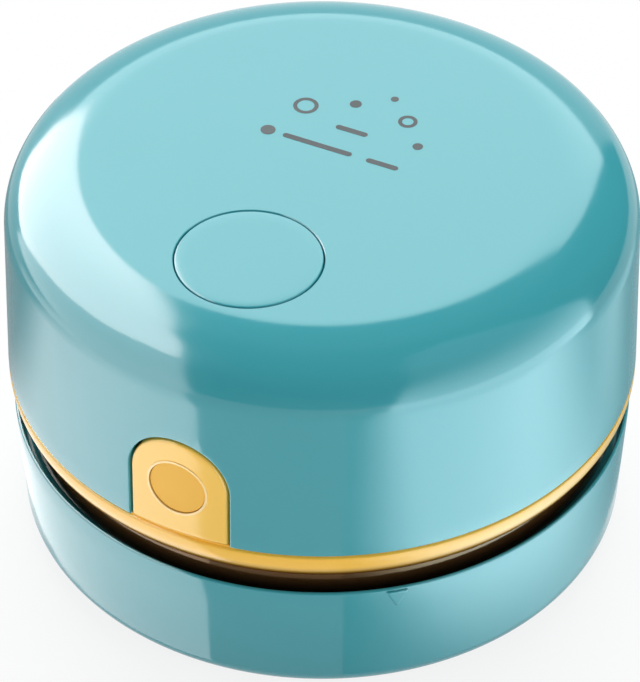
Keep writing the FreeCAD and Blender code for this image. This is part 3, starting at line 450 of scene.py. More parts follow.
def spun(name: str, corners: Sequence[Corner], segments: int = 192,
         run: float = 4 * MM) -> bpy.types.Object:
    """Spin an outline about the middle axis.

    Args:
        name: The piece's name.
        corners: The outline's corners, which start and end on the axis or close a loop.
        segments: How many faces go round.
        run: The longest face along a straight side.

    Returns:
        The spun piece.
    """
    points = softened(corners)
    on_axis = points[0][0] < ON_AXIS and points[-1][0] < ON_AXIS
    ends = points[1:] if on_axis else points[1:] + points[:1]
    path = [points[0]]
    for (r0, z0), (r1, z1) in zip(points, ends):
        parts = max(1, math.ceil(math.hypot(r1 - r0, z1 - z0) / run))
        path += [(r0 + (r1 - r0) * k / parts, z0 + (z1 - z0) * k / parts)
                 for k in range(1, parts + 1)]
    if not on_axis:
        path.pop()
    mesh = bmesh.new()
    rings = []
    for r, z in path:
        if r < ON_AXIS:
            rings.append([mesh.verts.new((0, 0, z))] * segments)
            continue
        rings.append([mesh.verts.new((r * math.sin(FULL_TURN * k / segments),
                                      -r * math.cos(FULL_TURN * k / segments), z))
                      for k in range(segments)])
    pairs = list(zip(rings, rings[1:]))
    if not on_axis:
        pairs.append((rings[-1], rings[0]))
    for lower, upper in pairs:
        for k in range(segments):
            face = [lower[k], lower[(k + 1) % segments], upper[(k + 1) % segments], upper[k]]
            mesh.faces.new(list(dict.fromkeys(face)))
    return as_piece(name, mesh)


@dataclass(frozen=True)
class Wall:
    """A round wall whose radius changes evenly with height, seen from the front."""

    low_z: float
    low_radius: float
    high_z: float
    high_radius: float

    def at(self, x: float, z: float, depth: float) -> tuple[float, float, float]:
        """Return the point behind the wall's face at x and z, a depth inside it."""
        share = (z - self.low_z) / (self.high_z - self.low_z)
        radius = self.low_radius + (self.high_radius - self.low_radius) * share
        return (x, depth - math.sqrt(radius * radius - x * x), z)


@dataclass(frozen=True)
class Table:
    """A level face that looks up, for pieces that lie on it."""

    height: float

    def at(self, x: float, y: float, depth: float) -> tuple[float, float, float]:
        """Return the point under the face at x and y, a depth inside it."""
        return (x, y, self.height - depth)


def inlay(name: str, outline: Outline, loops: Sequence[tuple[float, float]],
          face: Wall | Table, fill: int = 6) -> bpy.types.Object:
    """Build a closed solid that follows a face.

    Args:
        name: The piece's name.
        outline: The piece's outline, as a function of how far it is drawn in.
        loops: The draw-in and the depth of each loop, from the front to the back.
        face: The face that the piece follows.
        fill: How many rings fill its front and its back.

    Returns:
        The solid piece.
    """
    mesh = bmesh.new()
    rings = []
    front = outline(loops[0][0])
    back = outline(loops[-1][0])
    for flat, depth, shares in (
        (front, loops[0][1], [k / fill for k in range(1, fill)]),
        (back, loops[-1][1], [k / fill for k in range(fill - 1, 0, -1)]),
    ):
        middle_x = sum(point[0] for point in flat) / len(flat)
        middle_y = sum(point[1] for point in flat) / len(flat)
        inner = [
            [mesh.verts.new(face.at(middle_x + (x - middle_x) * share,
                                    middle_y + (y - middle_y) * share, depth))
             for x, y in flat]
            for share in shares
        ]
        centre = [mesh.verts.new(face.at(middle_x, middle_y, depth))] * len(flat)
        rings.append([centre] + inner if flat is front else inner + [centre])
    sides = [[mesh.verts.new(face.at(x, y, depth)) for x, y in outline(draw)]
             for draw, depth in loops]
    ladder = rings[0] + sides + rings[1]
    for lower, upper in zip(ladder, ladder[1:]):
        for k in range(len(lower)):
            following = (k + 1) % len(lower)
            corners = [lower[k], lower[following], upper[following], upper[k]]
            mesh.faces.new(list(dict.fromkeys(corners)))
    return as_piece(name, mesh)


def rounded_edge(edge: float, outward: bool = False) -> list[tuple[float, float]]:
    """Return the loops of a rounded front edge.

    Args:
        edge: The edge's radius.
        outward: True for a tool that cuts a hole, whose mouth widens to the front.

    Returns:
        Pairs of draw-in and depth.
    """
    loops = []
    for step in range(ROUND_STEPS + 1):
        turn = math.pi / 2 * step / ROUND_STEPS
        draw = edge * (1 - math.sin(turn))
        loops.append((-draw if outward else draw, edge * (1 - math.cos(turn))))
    return loops


def circle(x: float, y: float, radius: float, count: int = 96) -> Outline:
    """Return a round outline."""
    def drawn(draw: float) -> list[tuple[float, float]]:
        return [(x + (radius - draw) * math.cos(FULL_TURN * k / count),
                 y + (radius - draw) * math.sin(FULL_TURN * k / count))
                for k in range(count)]
    return drawn


def arch(half: float, low: float, middle: float, count: int = 24) -> Outline:
    """Return an outline with a flat foot, straight sides and a half-round top."""
    def drawn(draw: float) -> list[tuple[float, float]]:
        side = half - draw
        foot = low + draw
        points = [(-side + 2 * side * k / count, foot) for k in range(count)]
        points += [(side, foot + (middle - foot) * k / count) for k in range(count)]
        points += [(side * math.cos(math.pi * k / (2 * count)),
                    middle + side * math.sin(math.pi * k / (2 * count)))
                   for k in range(2 * count)]
        points += [(-side, middle - (middle - foot) * k / count) for k in range(count)]
        return points
    return drawn


def capsule(length: float, width: float, x: float, y: float, turn: float = 0.0,
            count: int = 16) -> Outline:
    """Return a straight outline with round ends, turned about its middle."""
    def drawn(draw: float) -> list[tuple[float, float]]:
        bend = width / 2 - draw
        reach = (length - width) / 2
        points = []
        for side, first in ((1, -math.pi / 2), (-1, math.pi / 2)):
            for k in range(count + 1):
                angle = first + math.pi * k / count
                points.append((side * reach + bend * math.cos(angle), bend * math.sin(angle)))
        return [(x + px * math.cos(turn) - py * math.sin(turn),
                 y + px * math.sin(turn) + py * math.cos(turn)) for px, py in points]
    return drawn


def wedge(half: float, top: float, height: float, bend: float, count: int = 6) -> Outline:
    """Return a triangle that points down, with rounded corners."""
    def drawn(draw: float) -> list[tuple[float, float]]:
        corners = (Vector((-half, top)), Vector((0, top - height)), Vector((half, top)))
        middle = (corners[0] + corners[1] + corners[2]) / 3
        points = []
        for index, corner in enumerate(corners):
            into = (corners[index - 1] - corner).normalized()
            away = (corners[(index + 1) % 3] - corner).normalized()
            angle = into.angle(away) / 2
            centre = corner + (into + away).normalized() * (bend / math.sin(angle))
            first = into.orthogonal() if into.orthogonal().dot(away) < 0 else -into.orthogonal()
            start = math.atan2(first.y, first.x)
            last = away.orthogonal() if away.orthogonal().dot(into) < 0 else -away.orthogonal()
            sweep = math.remainder(math.atan2(last.y, last.x) - start, FULL_TURN)
            for k in range(count + 1):
                turn = start + sweep * k / count
                points.append(centre + Vector((math.cos(turn), math.sin(turn))) * bend)
        share = 1 - draw / (middle.y - (top - height)) * 2
        return [tuple(middle + (point - middle) * share) for point in points]
    return drawn


def turned(piece: bpy.types.Object, bearing: float) -> bpy.types.Object:
    """Turn a piece's mesh about the middle axis, from the front to a bearing in degrees."""
    piece.data.transform(Matrix.Rotation(math.radians(bearing), 4, "Z"))
    return piece


def shifted(piece: bpy.types.Object, x: float, y: float, z: float = 0.0) -> bpy.types.Object:
    """Move a piece's mesh."""
    piece.data.transform(Matrix.Translation((x, y, z)))
    return piece


def baked(piece: bpy.types.Object) -> bpy.types.Object:
    """Turn a piece's modifiers into its plain mesh."""
    depsgraph = bpy.context.evaluated_depsgraph_get()
    mesh = bpy.data.meshes.new_from_object(piece.evaluated_get(depsgraph))
    mesh.name = piece.name
    piece.modifiers.clear()
    piece.data = mesh
    return piece


def carved(piece: bpy.types.Object, cutters: Sequence[bpy.types.Object],
           operation: str = "DIFFERENCE") -> bpy.types.Object:
    """Cut shapes out of a piece, and remove the shapes."""
    for cutter in cutters:
        cut = piece.modifiers.new("cut", "BOOLEAN")
        cut.operation = operation
        cut.solver = "EXACT"
        cut.object = cutter
    baked(piece)
    for cutter in cutters:
        bpy.data.objects.remove(cutter)
    return smooth(piece)


def merged(name: str, pieces: Sequence[bpy.types.Object]) -> bpy.types.Object:
    """Join pieces of one finish into one mesh."""
    mesh = bmesh.new()
    for piece in pieces:
        mesh.from_mesh(piece.data)
        bpy.data.objects.remove(piece)
    return meshed(name, mesh)


class GeometryDesk:
    """A new geometry node tree and the few calls that fill it."""

    def __init__(self, name: str, **inputs: str) -> None:
        """Make an empty tree with one geometry output.

        Args:
            name: The tree's name.
            inputs: Its inputs' names and kinds, such as Float or Int.
        """
        self.tree = bpy.data.node_groups.new(name, "GeometryNodeTree")
        self.tree.interface.new_socket("Geometry", in_out="OUTPUT",
                                       socket_type="NodeSocketGeometry")
        self.entry = self.tree.nodes.new("NodeGroupInput")
        self.exit = self.tree.nodes.new("NodeGroupOutput")
        self.names: dict[str, str] = {}
        for label, kind in inputs.items():
            socket = self.tree.interface.new_socket(label, in_out="INPUT",
                                                    socket_type="NodeSocket" + kind)
            self.names[label] = socket.identifier

    def given(self, name: str) -> bpy.types.NodeSocket:
        """Return a named input's socket."""
        return self.entry.outputs[name]

    def node(self, kind: str, *sources: object, **settings: object) -> bpy.types.Node:
        """Add a node.

        Args:
            kind: The node's type name.
            sources: What feeds its sockets in order: a socket, a value, or None to skip one.
            settings: Properties of the node.

        Returns:
            The new node.
        """
        made = self.tree.nodes.new(kind)
        for name, value in settings.items():
            setattr(made, name, value)
        sockets = [socket for socket in made.inputs if socket.enabled]
        for socket, source in zip(sockets, sources):
            if isinstance(source, bpy.types.NodeSocket):
                self.tree.links.new(source, socket)
            elif source is not None:
                socket.default_value = source
        return made

    def math(self, operation: str, first: object, second: object = None) -> bpy.types.NodeSocket:
        """Return the result of a sum."""
        return self.node("ShaderNodeMath", first, second, operation=operation).outputs[0]

    def random(self, low: float, high: float, seed: object) -> bpy.types.NodeSocket:
        """Return a random number for each point."""
        made = self.node("FunctionNodeRandomValue", data_type="FLOAT")
        made.inputs[2].default_value = low
        made.inputs[3].default_value = high
        if isinstance(seed, bpy.types.NodeSocket):
            self.tree.links.new(seed, made.inputs["Seed"])
        else:
            made.inputs["Seed"].default_value = seed
        return made.outputs[1]

    def ends(self, geometry: bpy.types.NodeSocket) -> None:
        """Realize the instances, set the finish and end the tree."""
        real = self.node("GeometryNodeRealizeInstances", geometry)
        painted = self.node("GeometryNodeSetMaterial", real.outputs[0])
        self.tree.links.new(self.given("Finish"), painted.inputs["Material"])
        self.tree.links.new(painted.outputs[0], self.exit.inputs[0])

    def grown(self, name: str, **values: object) -> bpy.types.Object:
        """Run the tree and return its result as a plain piece.

        Args:
            name: The piece's name.
            values: The inputs' names and values.

        Returns:
            The finished piece.
        """
        piece = placed(name, bpy.data.meshes.new(name))
        grower = piece.modifiers.new("grow", "NODES")
        grower.node_group = self.tree
        for label, value in values.items():
            grower[self.names[label]] = value
        return smooth(baked(piece))


def turn_array() -> GeometryDesk:
    """Build the tree that repeats a piece about the middle axis."""
    desk = GeometryDesk("turn_array", Piece="Object", Count="Int", First="Float",
                        Pitch="Float", Finish="Material")
    points = desk.node("GeometryNodePoints", desk.given("Count"))
    source = desk.node("GeometryNodeObjectInfo", desk.given("Piece"))
    index = desk.node("GeometryNodeInputIndex").outputs[0]
    angle = desk.math("ADD", desk.math("MULTIPLY", index, desk.given("Pitch")),
                      desk.given("First"))
    euler = desk.node("ShaderNodeCombineXYZ", 0.0, 0.0, angle).outputs[0]
    rotation = desk.node("FunctionNodeEulerToRotation", euler).outputs[0]
    copies = desk.node("GeometryNodeInstanceOnPoints", points.outputs[0])
    desk.tree.links.new(source.outputs["Geometry"], copies.inputs["Instance"])
    desk.tree.links.new(rotation, copies.inputs["Rotation"])
    desk.ends(copies.outputs[0])
    return desk


def brush_ring() -> GeometryDesk:
    """Build the tree that grows tufts of hair in a ring, pointing down."""
    desk = GeometryDesk("brush_ring", Tufts="Int", Hairs="Int", Ring="Float", Tuft="Float",
                        Root="Float", Length="Float", Thickness="Float", Lean="Float",
                        Seed="Int", Finish="Material")
    total = desk.math("MULTIPLY", desk.given("Tufts"), desk.given("Hairs"))
    index = desk.node("GeometryNodeInputIndex").outputs[0]
    tuft = desk.math("FLOOR", desk.math("DIVIDE", index, desk.given("Hairs")))
    bearing = desk.math("MULTIPLY", tuft, desk.math("DIVIDE", FULL_TURN, desk.given("Tufts")))
    share = desk.math("SQRT", desk.random(0.0, 1.0, desk.given("Seed")))
    around = desk.random(0.0, FULL_TURN, desk.math("ADD", desk.given("Seed"), 1))
    side_x = desk.math("MULTIPLY", share, desk.math("COSINE", around))
    side_y = desk.math("MULTIPLY", share, desk.math("SINE", around))
    x = desk.math("ADD", desk.math("MULTIPLY", desk.given("Ring"), desk.math("SINE", bearing)),
                  desk.math("MULTIPLY", side_x, desk.given("Tuft")))
    y = desk.math("SUBTRACT", desk.math("MULTIPLY", side_y, desk.given("Tuft")),
                  desk.math("MULTIPLY", desk.given("Ring"), desk.math("COSINE", bearing)))
    place = desk.node("ShaderNodeCombineXYZ", x, y, desk.given("Root")).outputs[0]
    points = desk.node("GeometryNodePoints", total, place)
    hair = desk.node("GeometryNodeMeshCone")
    for name, value in (("Vertices", HAIR_SIDES), ("Side Segments", 1), ("Fill Segments", 1)):
        hair.inputs[name].default_value = value
    desk.tree.links.new(desk.math("MULTIPLY", desk.given("Thickness"), HAIR_TIP),
                        hair.inputs["Radius Top"])
    desk.tree.links.new(desk.given("Thickness"), hair.inputs["Radius Bottom"])
    desk.tree.links.new(desk.given("Length"), hair.inputs["Depth"])
    lean_x = desk.math("MULTIPLY", side_x, desk.given("Lean"))
    lean_y = desk.math("MULTIPLY", side_y, desk.given("Lean"))
    direction = desk.node("ShaderNodeCombineXYZ", lean_x, lean_y, -1.0).outputs[0]
    aligned = desk.node("FunctionNodeAlignRotationToVector", axis="Z")
    desk.tree.links.new(direction, aligned.inputs["Vector"])
    tip = desk.random(HAIR_SHORTEST, 1.0, desk.math("ADD", desk.given("Seed"), 2))
    scale = desk.node("ShaderNodeCombineXYZ", 1.0, 1.0, tip).outputs[0]
    hairs = desk.node("GeometryNodeInstanceOnPoints", points.outputs[0])
    desk.tree.links.new(hair.outputs["Mesh"], hairs.inputs["Instance"])
    desk.tree.links.new(aligned.outputs[0], hairs.inputs["Rotation"])
    desk.tree.links.new(scale, hairs.inputs["Scale"])
    desk.ends(hairs.outputs[0])
    return desk


TURN_ARRAY = turn_array()
BRUSH_RING = brush_ring()


def repeated(name: str, piece: bpy.types.Object, count: int, first: float, pitch: float,
             finish: Finish) -> bpy.types.Object:
    """Repeat a piece about the middle axis, and remove the first one.

    Args:
        name: The new piece's name.
        piece: What is repeated, modelled at the front.
        count: How many there are.
        first: The bearing of the first, in degrees.
        pitch: The bearing from one to the next, in degrees.
        finish: What it is made of.

    Returns:
        The repeated piece.
    """
    made = TURN_ARRAY.grown(name, Piece=piece, Count=count, First=math.radians(first),
                            Pitch=math.radians(pitch), Finish=finish.material)
    bpy.data.objects.remove(piece)
    return made


def dressed(piece: bpy.types.Object, finish: Finish, body: str, slot: str,
            *nodes: str) -> bpy.types.Object:
    """Give a piece its finish and its body, and hide the nodes that it stands for.

    Args:
        piece: The piece.
        finish: What it is made of.
        body: The body that it moves with.
        slot: The record's material slot; not used.
        nodes: The frame's nodes that it replaces.

    Returns:
        The piece.
    """
    piece.data.materials.clear()
    piece.data.materials.append(finish.material)
    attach(piece, body)
    if nodes:
        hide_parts(*nodes)
    LOG.info("%s rides on %s, %d faces", piece.name, body, len(piece.data.polygons))
    return piece


@dataclass
class TopShell:
    """The moulded upper shell, with the button's hole, the tab's notch, grille and port."""

    rim: float = 42.3 * MM
    draft: float = 0.5 * MM
    round_top: float = 9.0 * MM
    shoulder_in: float = 6.5 * MM
    shoulder_drop: float = 4.2 * MM
    shoulder_bend: float = 14.0 * MM
    side_bend: float = 6.7 * MM
    wall: float = 2.2 * MM
    print_sink: float = 0.03 * MM
    edge: float = 0.28 * MM
    hole: float = 9.65 * MM
    hole_edge: float = 0.12 * MM
    hole_place: float = 21.2 * MM
    guide_wall: float = 1.35 * MM
    guide_height: float = 3.1 * MM
    tab_half: float = 7.15 * MM
    tab_rise: float = 8.25 * MM
    tab_gap: float = 0.35 * MM
    notch_overrun: float = 2 * MM
    slots: int = 9
    slot_width: float = 1.8 * MM
    slot_height: float = 4.6 * MM
    slot_level: float = 2.4 * MM
    slot_pitch: float = 3.5
    slot_middle: float = 147.0
    port_width: float = 9.54 * MM
    port_height: float = 3.8 * MM
    port_edge: float = 0.7 * MM
    boss: float = 2.3 * MM
    boss_bore: float = 1.0 * MM
    boss_drop: float = 4.2 * MM
    boss_place: float = 35.2 * MM
    boss_bearings: tuple[float, ...] = (333.0, 85.0, 205.0)

    def __post_init__(self) -> None:
        """Read the shell's heights from the frame."""
        low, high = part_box("top_shell")
        self.bottom = low.z
        self.top = high.z - self.print_sink
        round_z = high.z - self.round_top
        self.face = Wall(self.bottom, self.rim, round_z, self.rim - self.draft)
        self.lean = self.draft / (round_z - low.z)
        self.high_radius = self.rim - self.lean * (high.z - low.z)
        port_low, port_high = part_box("charge_socket")
        self.port_z = (port_low.z + port_high.z) / 2

    def blank(self) -> bpy.types.Object:
        """Return the plain shell before it is cut."""
        inner_top = self.top - self.wall
        return spun("top_shell_skin", [
            Corner(0, self.top),
            Corner(self.high_radius - self.shoulder_in, self.top, self.shoulder_bend),
            Corner(self.high_radius + self.lean * self.shoulder_drop,
                   self.top - self.shoulder_drop, self.side_bend),
            Corner(self.rim, self.bottom, self.edge),
            Corner(self.rim - self.wall, self.bottom),
            Corner(self.high_radius - self.wall, inner_top, self.round_top - self.wall),
            Corner(0, inner_top),
        ], WALL_FACES, 2.5 * MM)

    def hole_tool(self) -> bpy.types.Object:
        """Return the shape that cuts the button's hole."""
        tool = spun("hole_tool", [
            Corner(0, self.top + self.wall),
            Corner(self.hole + self.hole_edge, self.top + self.wall),
            Corner(self.hole + self.hole_edge, self.top),
            Corner(self.hole, self.top - self.hole_edge),
            Corner(self.hole, self.top - 2 * self.wall),
            Corner(0, self.top - 2 * self.wall),
        ], BUTTON_FACES)
        return shifted(tool, 0, -self.hole_place)

    def wall_tool(self, name: str, outline: Outline, edge: float) -> bpy.types.Object:
        """Return a shape that cuts an outline through the wall, with a round mouth."""
        mouth = rounded_edge(edge, True)
        loops = [(-edge, -self.wall)] + mouth + [(0.0, 2 * self.wall)]
        return inlay(name, outline, loops, self.face)

    def build(self) -> list[bpy.types.Object]:
        """Build the shell and its button guide."""
        slot = self.wall_tool(
            "slot_tool",
            capsule(self.slot_height, self.slot_width, 0,
                    self.bottom + self.slot_level + self.slot_height / 2, math.pi / 2, 10),
            self.edge)
        slots = repeated("slot_tools", slot, self.slots,
                         self.slot_middle - self.slot_pitch * (self.slots - 1) / 2,
                         self.slot_pitch, Finish.AQUA)
        notch = self.wall_tool(
            "notch_tool",
            arch(self.tab_half, self.bottom - self.notch_overrun,
                 self.bottom + self.tab_rise + self.tab_gap),
            self.edge)
        port_mouth = capsule(self.port_width, self.port_height, 0, self.port_z)
        port = turned(self.wall_tool("port_tool", port_mouth, self.port_edge), 180)
        shell = carved(self.blank(), [self.hole_tool(), notch, port, slots])
        guide = spun("button_guide", [
            Corner(self.hole, self.top - self.wall / 2),
            Corner(self.hole + self.guide_wall, self.top - self.wall / 2),
            Corner(self.hole + self.guide_wall, self.top - self.wall - self.guide_height),
            Corner(self.hole, self.top - self.wall - self.guide_height),
        ], GUIDE_FACES)
        shifted(guide, 0, -self.hole_place)
        return [
            dressed(shell, Finish.AQUA, "power_unit", "aqua_gloss", "top_shell"),
            dressed(guide, Finish.AQUA, "power_unit", "aqua_gloss"),
            dressed(self.bosses(), Finish.AQUA, "power_unit", "aqua_gloss"),
        ]

    def bosses(self) -> bpy.types.Object:
        """Return the posts inside the shell that the deck's screws bite into."""
        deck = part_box("circuit_board")[0].z - self.boss_drop
        top = self.top - self.wall
        posts = []
        for bearing in self.boss_bearings:
            post = spun("shell_boss", [
                Corner(self.boss_bore, deck), Corner(self.boss, deck, FINE_ROUND),
                Corner(self.boss, top), Corner(self.boss_bore, top),
            ], POST_FACES)
            posts.append(turned(shifted(post, 0, -self.boss_place), bearing))
        return merged("shell_bosses", posts)


@dataclass
class TrimRing:
    """The amber ring between the cup and the shell."""

    bead: float = 42.28 * MM
    bore: float = 40.7 * MM
    upstand: float = 39.9 * MM
    upstand_wall: float = 1.4 * MM
    upstand_height: float = 2.1 * MM
    land: float = 36.9 * MM
    flange: float = 1.0 * MM
    crease: float = 0.4 * MM
    crease_drop: float = 0.2 * MM
    lip_drop: float = 0.4 * MM
    lip_round: float = 0.35 * MM
    notch: float = 7.15 * MM
    notch_depth: float = 8 * MM
    notch_height: float = 4 * MM
    bead_height: float = 4.3 * MM
    bead_foot: float = 0.3 * MM
    bead_round: float = 3.4 * MM
    bead_steps: int = 20

    def bulge(self, low: float) -> list[Corner]:
        """Return the bead's round face, from its foot up to its widest line."""
        width = self.bead - self.bore - self.bead_foot
        bend = (width ** 2 + self.bead_round ** 2) / (2 * width)
        sweep = math.asin(self.bead_round / bend)
        corners = []
        for step in range(self.bead_steps + 1):
            turn = sweep * (step / self.bead_steps - 1)
            corners.append(Corner(self.bead - bend + bend * math.cos(turn),
                                  low + self.bead_round + bend * math.sin(turn)))
        return corners

    def build(self) -> list[bpy.types.Object]:
        """Build the ring, open where the release tab passes."""
        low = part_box("trim_ring")[0].z
        high = low + self.bead_height
        ring = spun("trim_ring_bead", [
            Corner(self.bore, low),
            *self.bulge(low),
            Corner(self.bead, high - self.lip_drop, self.lip_round),
            Corner(self.bead - self.crease, high - self.crease_drop),
            Corner(self.bead - self.crease, high),
            Corner(self.upstand, high),
            Corner(self.upstand, high + self.upstand_height, FINE_ROUND),
            Corner(self.upstand - self.upstand_wall, high + self.upstand_height, FINE_ROUND),
            Corner(self.upstand - self.upstand_wall, high),
            Corner(self.land, high),
            Corner(self.land, high - self.flange),
            Corner(self.bore, high - self.flange),
        ], WALL_FACES)
        bpy.ops.mesh.primitive_cube_add(size=1)
        room = bpy.context.object
        size = (2 * self.notch, self.notch_depth, self.notch_height, 1)
        room.data.transform(Matrix.Diagonal(size))
        shifted(room, 0, -(self.bead - self.crease) + self.notch_depth / 2,
                high + self.notch_height / 2)
        carved(ring, [room])
        return [dressed(ring, Finish.TRIM, "power_unit", "amber_gloss", "trim_ring")]


@dataclass
class ReleaseTab:
    """The amber tab in the shell's notch, with its round thumb mark."""

    half: float = 6.8 * MM
    rise: float = 15.1 * MM
    thickness: float = 2.0 * MM
    edge: float = 0.35 * MM
    dot: float = 4.0 * MM
    dot_rim: float = 0.35 * MM
    dot_level: float = 7.9 * MM
    rim_proud: float = 0.14 * MM
    rim_slope: float = 0.6
    rim_root: float = 0.2 * MM
    dot_gap: float = 0.06 * MM
    dot_edge: float = 0.12 * MM
    dot_depth: float = 0.55 * MM
    recess_depth: float = 0.6 * MM
    foot_gap: float = 0.3 * MM
    shelf: float = 1.5 * MM
    shelf_root: float = 0.5 * MM
    leg_half: float = 4 * MM
    leg_wall: float = 1.4 * MM
    nose_out: float = 1.7 * MM
    nose_in: float = 0.7 * MM
    nose_drop: float = 1.5 * MM
    nose_gap: float = 0.3 * MM
    catch_drop: float = 2.4 * MM
    catch_height: float = 1.0 * MM
    nub_radius: float = 1.1 * MM
    nub_length: float = 1.6 * MM
    nub_round: float = 0.15 * MM
    nub_place: float = 40.8 * MM
    nub_level: float = 4.4 * MM

    def build(self, shell: TopShell) -> list[bpy.types.Object]:
        """Build the tab, its rim and its inlay."""
        low = shell.bottom + self.foot_gap
        middle = low + self.rise - self.half
        dot_z = shell.bottom + self.dot_level
        plate = inlay("release_tab_plate", arch(self.half, low, middle),
                      rounded_edge(self.edge) + [(0.0, self.thickness)], shell.face, 12)
        recess = inlay("dot_recess", circle(0, dot_z, self.dot),
                       [(0.0, -self.thickness), (0.0, self.recess_depth)], shell.face)
        carved(plate, [recess])
        leg_low, leg_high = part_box("release_tab")
        front = leg_low.y + self.thickness
        width = (-self.leg_half, self.leg_half)
        leg = merged("leg", [
            block("leg_shelf", width, (front - self.shelf_root, leg_high.y),
                  (low, low + self.shelf)),
            block("leg_drop", width, (leg_high.y - self.leg_wall, leg_high.y),
                  (leg_low.z, low + self.shelf / 2)),
        ])
        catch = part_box("dust_cup")[1].z - self.catch_drop - self.catch_height
        leg = merged("leg", [
            leg,
            block("leg_nose", width, (leg_high.y - self.nose_out, leg_high.y - self.nose_in),
                  (catch - self.nose_drop, catch - self.nose_gap)),
            self.nub(shell.bottom + self.nub_level),
        ])
        tab = merged("release_tab_body", [plate, leg])
        rim = self.hugging_ring("tab_dot_rim", dot_z, shell.face)
        loops = [(draw, depth + self.dot_gap) for draw, depth in rounded_edge(self.dot_edge)]
        inset = inlay("tab_dot_inlay", circle(0, dot_z, self.dot - self.dot_gap),
                      loops + [(0.0, self.dot_depth)], shell.face, 8)
        return [
            dressed(tab, Finish.AMBER, "release_tab", "amber_gloss", "release_tab"),
            dressed(rim, Finish.AMBER_PALE, "release_tab", "amber_gloss"),
            dressed(inset, Finish.AMBER_DOT, "release_tab", "amber_dot", "tab_dot"),
        ]

    def nub(self, height: float) -> bpy.types.Object:
        """Return the stub behind the tab that the spring is pushed over."""
        stub = spun("spring_nub", [
            Corner(0, 0), Corner(self.nub_radius, 0),
            Corner(self.nub_radius, self.nub_length, self.nub_round),
            Corner(0, self.nub_length),
        ], POST_FACES)
        stub.data.transform(Matrix.Rotation(-math.pi / 2, 4, "X"))
        return shifted(stub, 0, -self.nub_place, height)

    def hugging_ring(self, name: str, dot_z: float, face: Wall) -> bpy.types.Object:
        """Return the thin raised rim round the inlay, bent along the tab."""
        mesh = bmesh.new()
        count = 96
        slope = -self.rim_proud * self.rim_slope
        section = [(0.0, self.rim_root), (0.0, slope), (0.2, -self.rim_proud),
                   (0.8, -self.rim_proud), (1.0, slope), (1.0, self.rim_root)]
        rings = []
        for share, depth in section:
            radius = self.dot + self.dot_rim * share
            rings.append([mesh.verts.new(face.at(radius * math.cos(FULL_TURN * k / count),
                                                 dot_z + radius * math.sin(FULL_TURN * k / count),
                                                 depth)) for k in range(count)])
        for lower, upper in zip(rings, rings[1:] + rings[:1]):
            for k in range(count):
                following = (k + 1) % count
                mesh.faces.new([lower[k], lower[following], upper[following], upper[k]])
        return as_piece(name, mesh)


def block(name: str, across: tuple[float, float], along: tuple[float, float],
          up: tuple[float, float]) -> bpy.types.Object:
    """Return a box with slightly rounded edges."""
    mesh = bmesh.new()
    bmesh.ops.create_cube(mesh, size=1)
    size = [pair[1] - pair[0] for pair in (across, along, up)]
    middle = [(pair[0] + pair[1]) / 2 for pair in (across, along, up)]
    bmesh.ops.scale(mesh, vec=size, verts=mesh.verts)
    bmesh.ops.translate(mesh, vec=middle, verts=mesh.verts)
    bmesh.ops.bevel(mesh, geom=mesh.edges, offset=BLOCK_EDGE, segments=2, affect="EDGES",
                    profile=0.5)
    return as_piece(name, mesh)


def sector(name: str, radii: tuple[float, float], up: tuple[float, float],
           angle: float) -> bpy.types.Object:
    """Return a curved block at the front, centred on the middle axis.

    Args:
        name: The piece's name.
        radii: Its inner and outer radius.
        up: Its lower and upper height.
        angle: How far it reaches round, in degrees.

    Returns:
        The block.
    """
    steps = max(2, round(angle / 2))
    mesh = bmesh.new()
    slices = []
    for step in range(steps + 1):
        turn = math.radians(angle) * (step / steps - 0.5)
        slices.append([mesh.verts.new((r * math.sin(turn), -r * math.cos(turn), z))
                       for r, z in ((radii[0], up[0]), (radii[1], up[0]),
                                    (radii[1], up[1]), (radii[0], up[1]))])
    for lower, upper in zip(slices, slices[1:]):
        for k in range(4):
            mesh.faces.new([lower[k], lower[(k + 1) % 4], upper[(k + 1) % 4], upper[k]])
    mesh.faces.new(slices[0][::-1])
    mesh.faces.new(slices[-1])
    return as_piece(name, mesh)


@dataclass
class PowerButton:
    """The round button in the top, with its keeper rim."""

    radius: float = 9.5 * MM
    place: float = 21.2 * MM
    edge: float = 0.2 * MM
    stem: float = 2.2 * MM
    wall: float = 1.4 * MM
    keeper: float = 1.35 * MM
    keeper_height: float = 1.2 * MM
    cap: float = 2.2 * MM
    cap_sink: float = 0.02 * MM
    rib_half: float = 0.5 * MM
    rib_root: float = 0.7 * MM

    def build(self) -> list[bpy.types.Object]:
        """Build the cap, its skirt and its rim."""
        low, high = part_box("power_button")
        top = high.z - self.cap_sink
        bore = self.radius - self.wall
        cap = spun("power_button_cap", [
            Corner(0, top),
            Corner(self.radius, top, self.edge),
            Corner(self.radius, low.z + self.keeper_height),
            Corner(self.radius + self.keeper, low.z + self.keeper_height, FINE_ROUND),
            Corner(self.radius + self.keeper, low.z, FINE_ROUND),
            Corner(bore, low.z),
            Corner(bore, top - self.cap),
            Corner(0, top - self.cap),
        ], BUTTON_FACES, 1.6 * MM)
        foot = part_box("switch_plunger")[1].z
        stem = spun("button_stem", [
            Corner(0, foot), Corner(self.stem, foot, FINE_ROUND),
            Corner(self.stem, top - self.cap / 2), Corner(0, top - self.cap / 2),
        ], STEM_FACES)
        rib = block("button_rib", (-self.rib_half, self.rib_half),
                    (-(bore + self.rib_root), -self.stem / 2),
                    (low.z + self.keeper_height, top - self.cap / 2))
        ribs = repeated("button_ribs", rib, 4, 0, 90, Finish.AQUA)
        inner = shifted(merged("button_stem_ribs", [stem, ribs]), 0, -self.place)
        shifted(cap, 0, -self.place)
        return [
            dressed(cap, Finish.AQUA, "power_button", "aqua_gloss", "power_button"),
            dressed(inner, Finish.AQUA, "power_button", "aqua_gloss"),
        ]


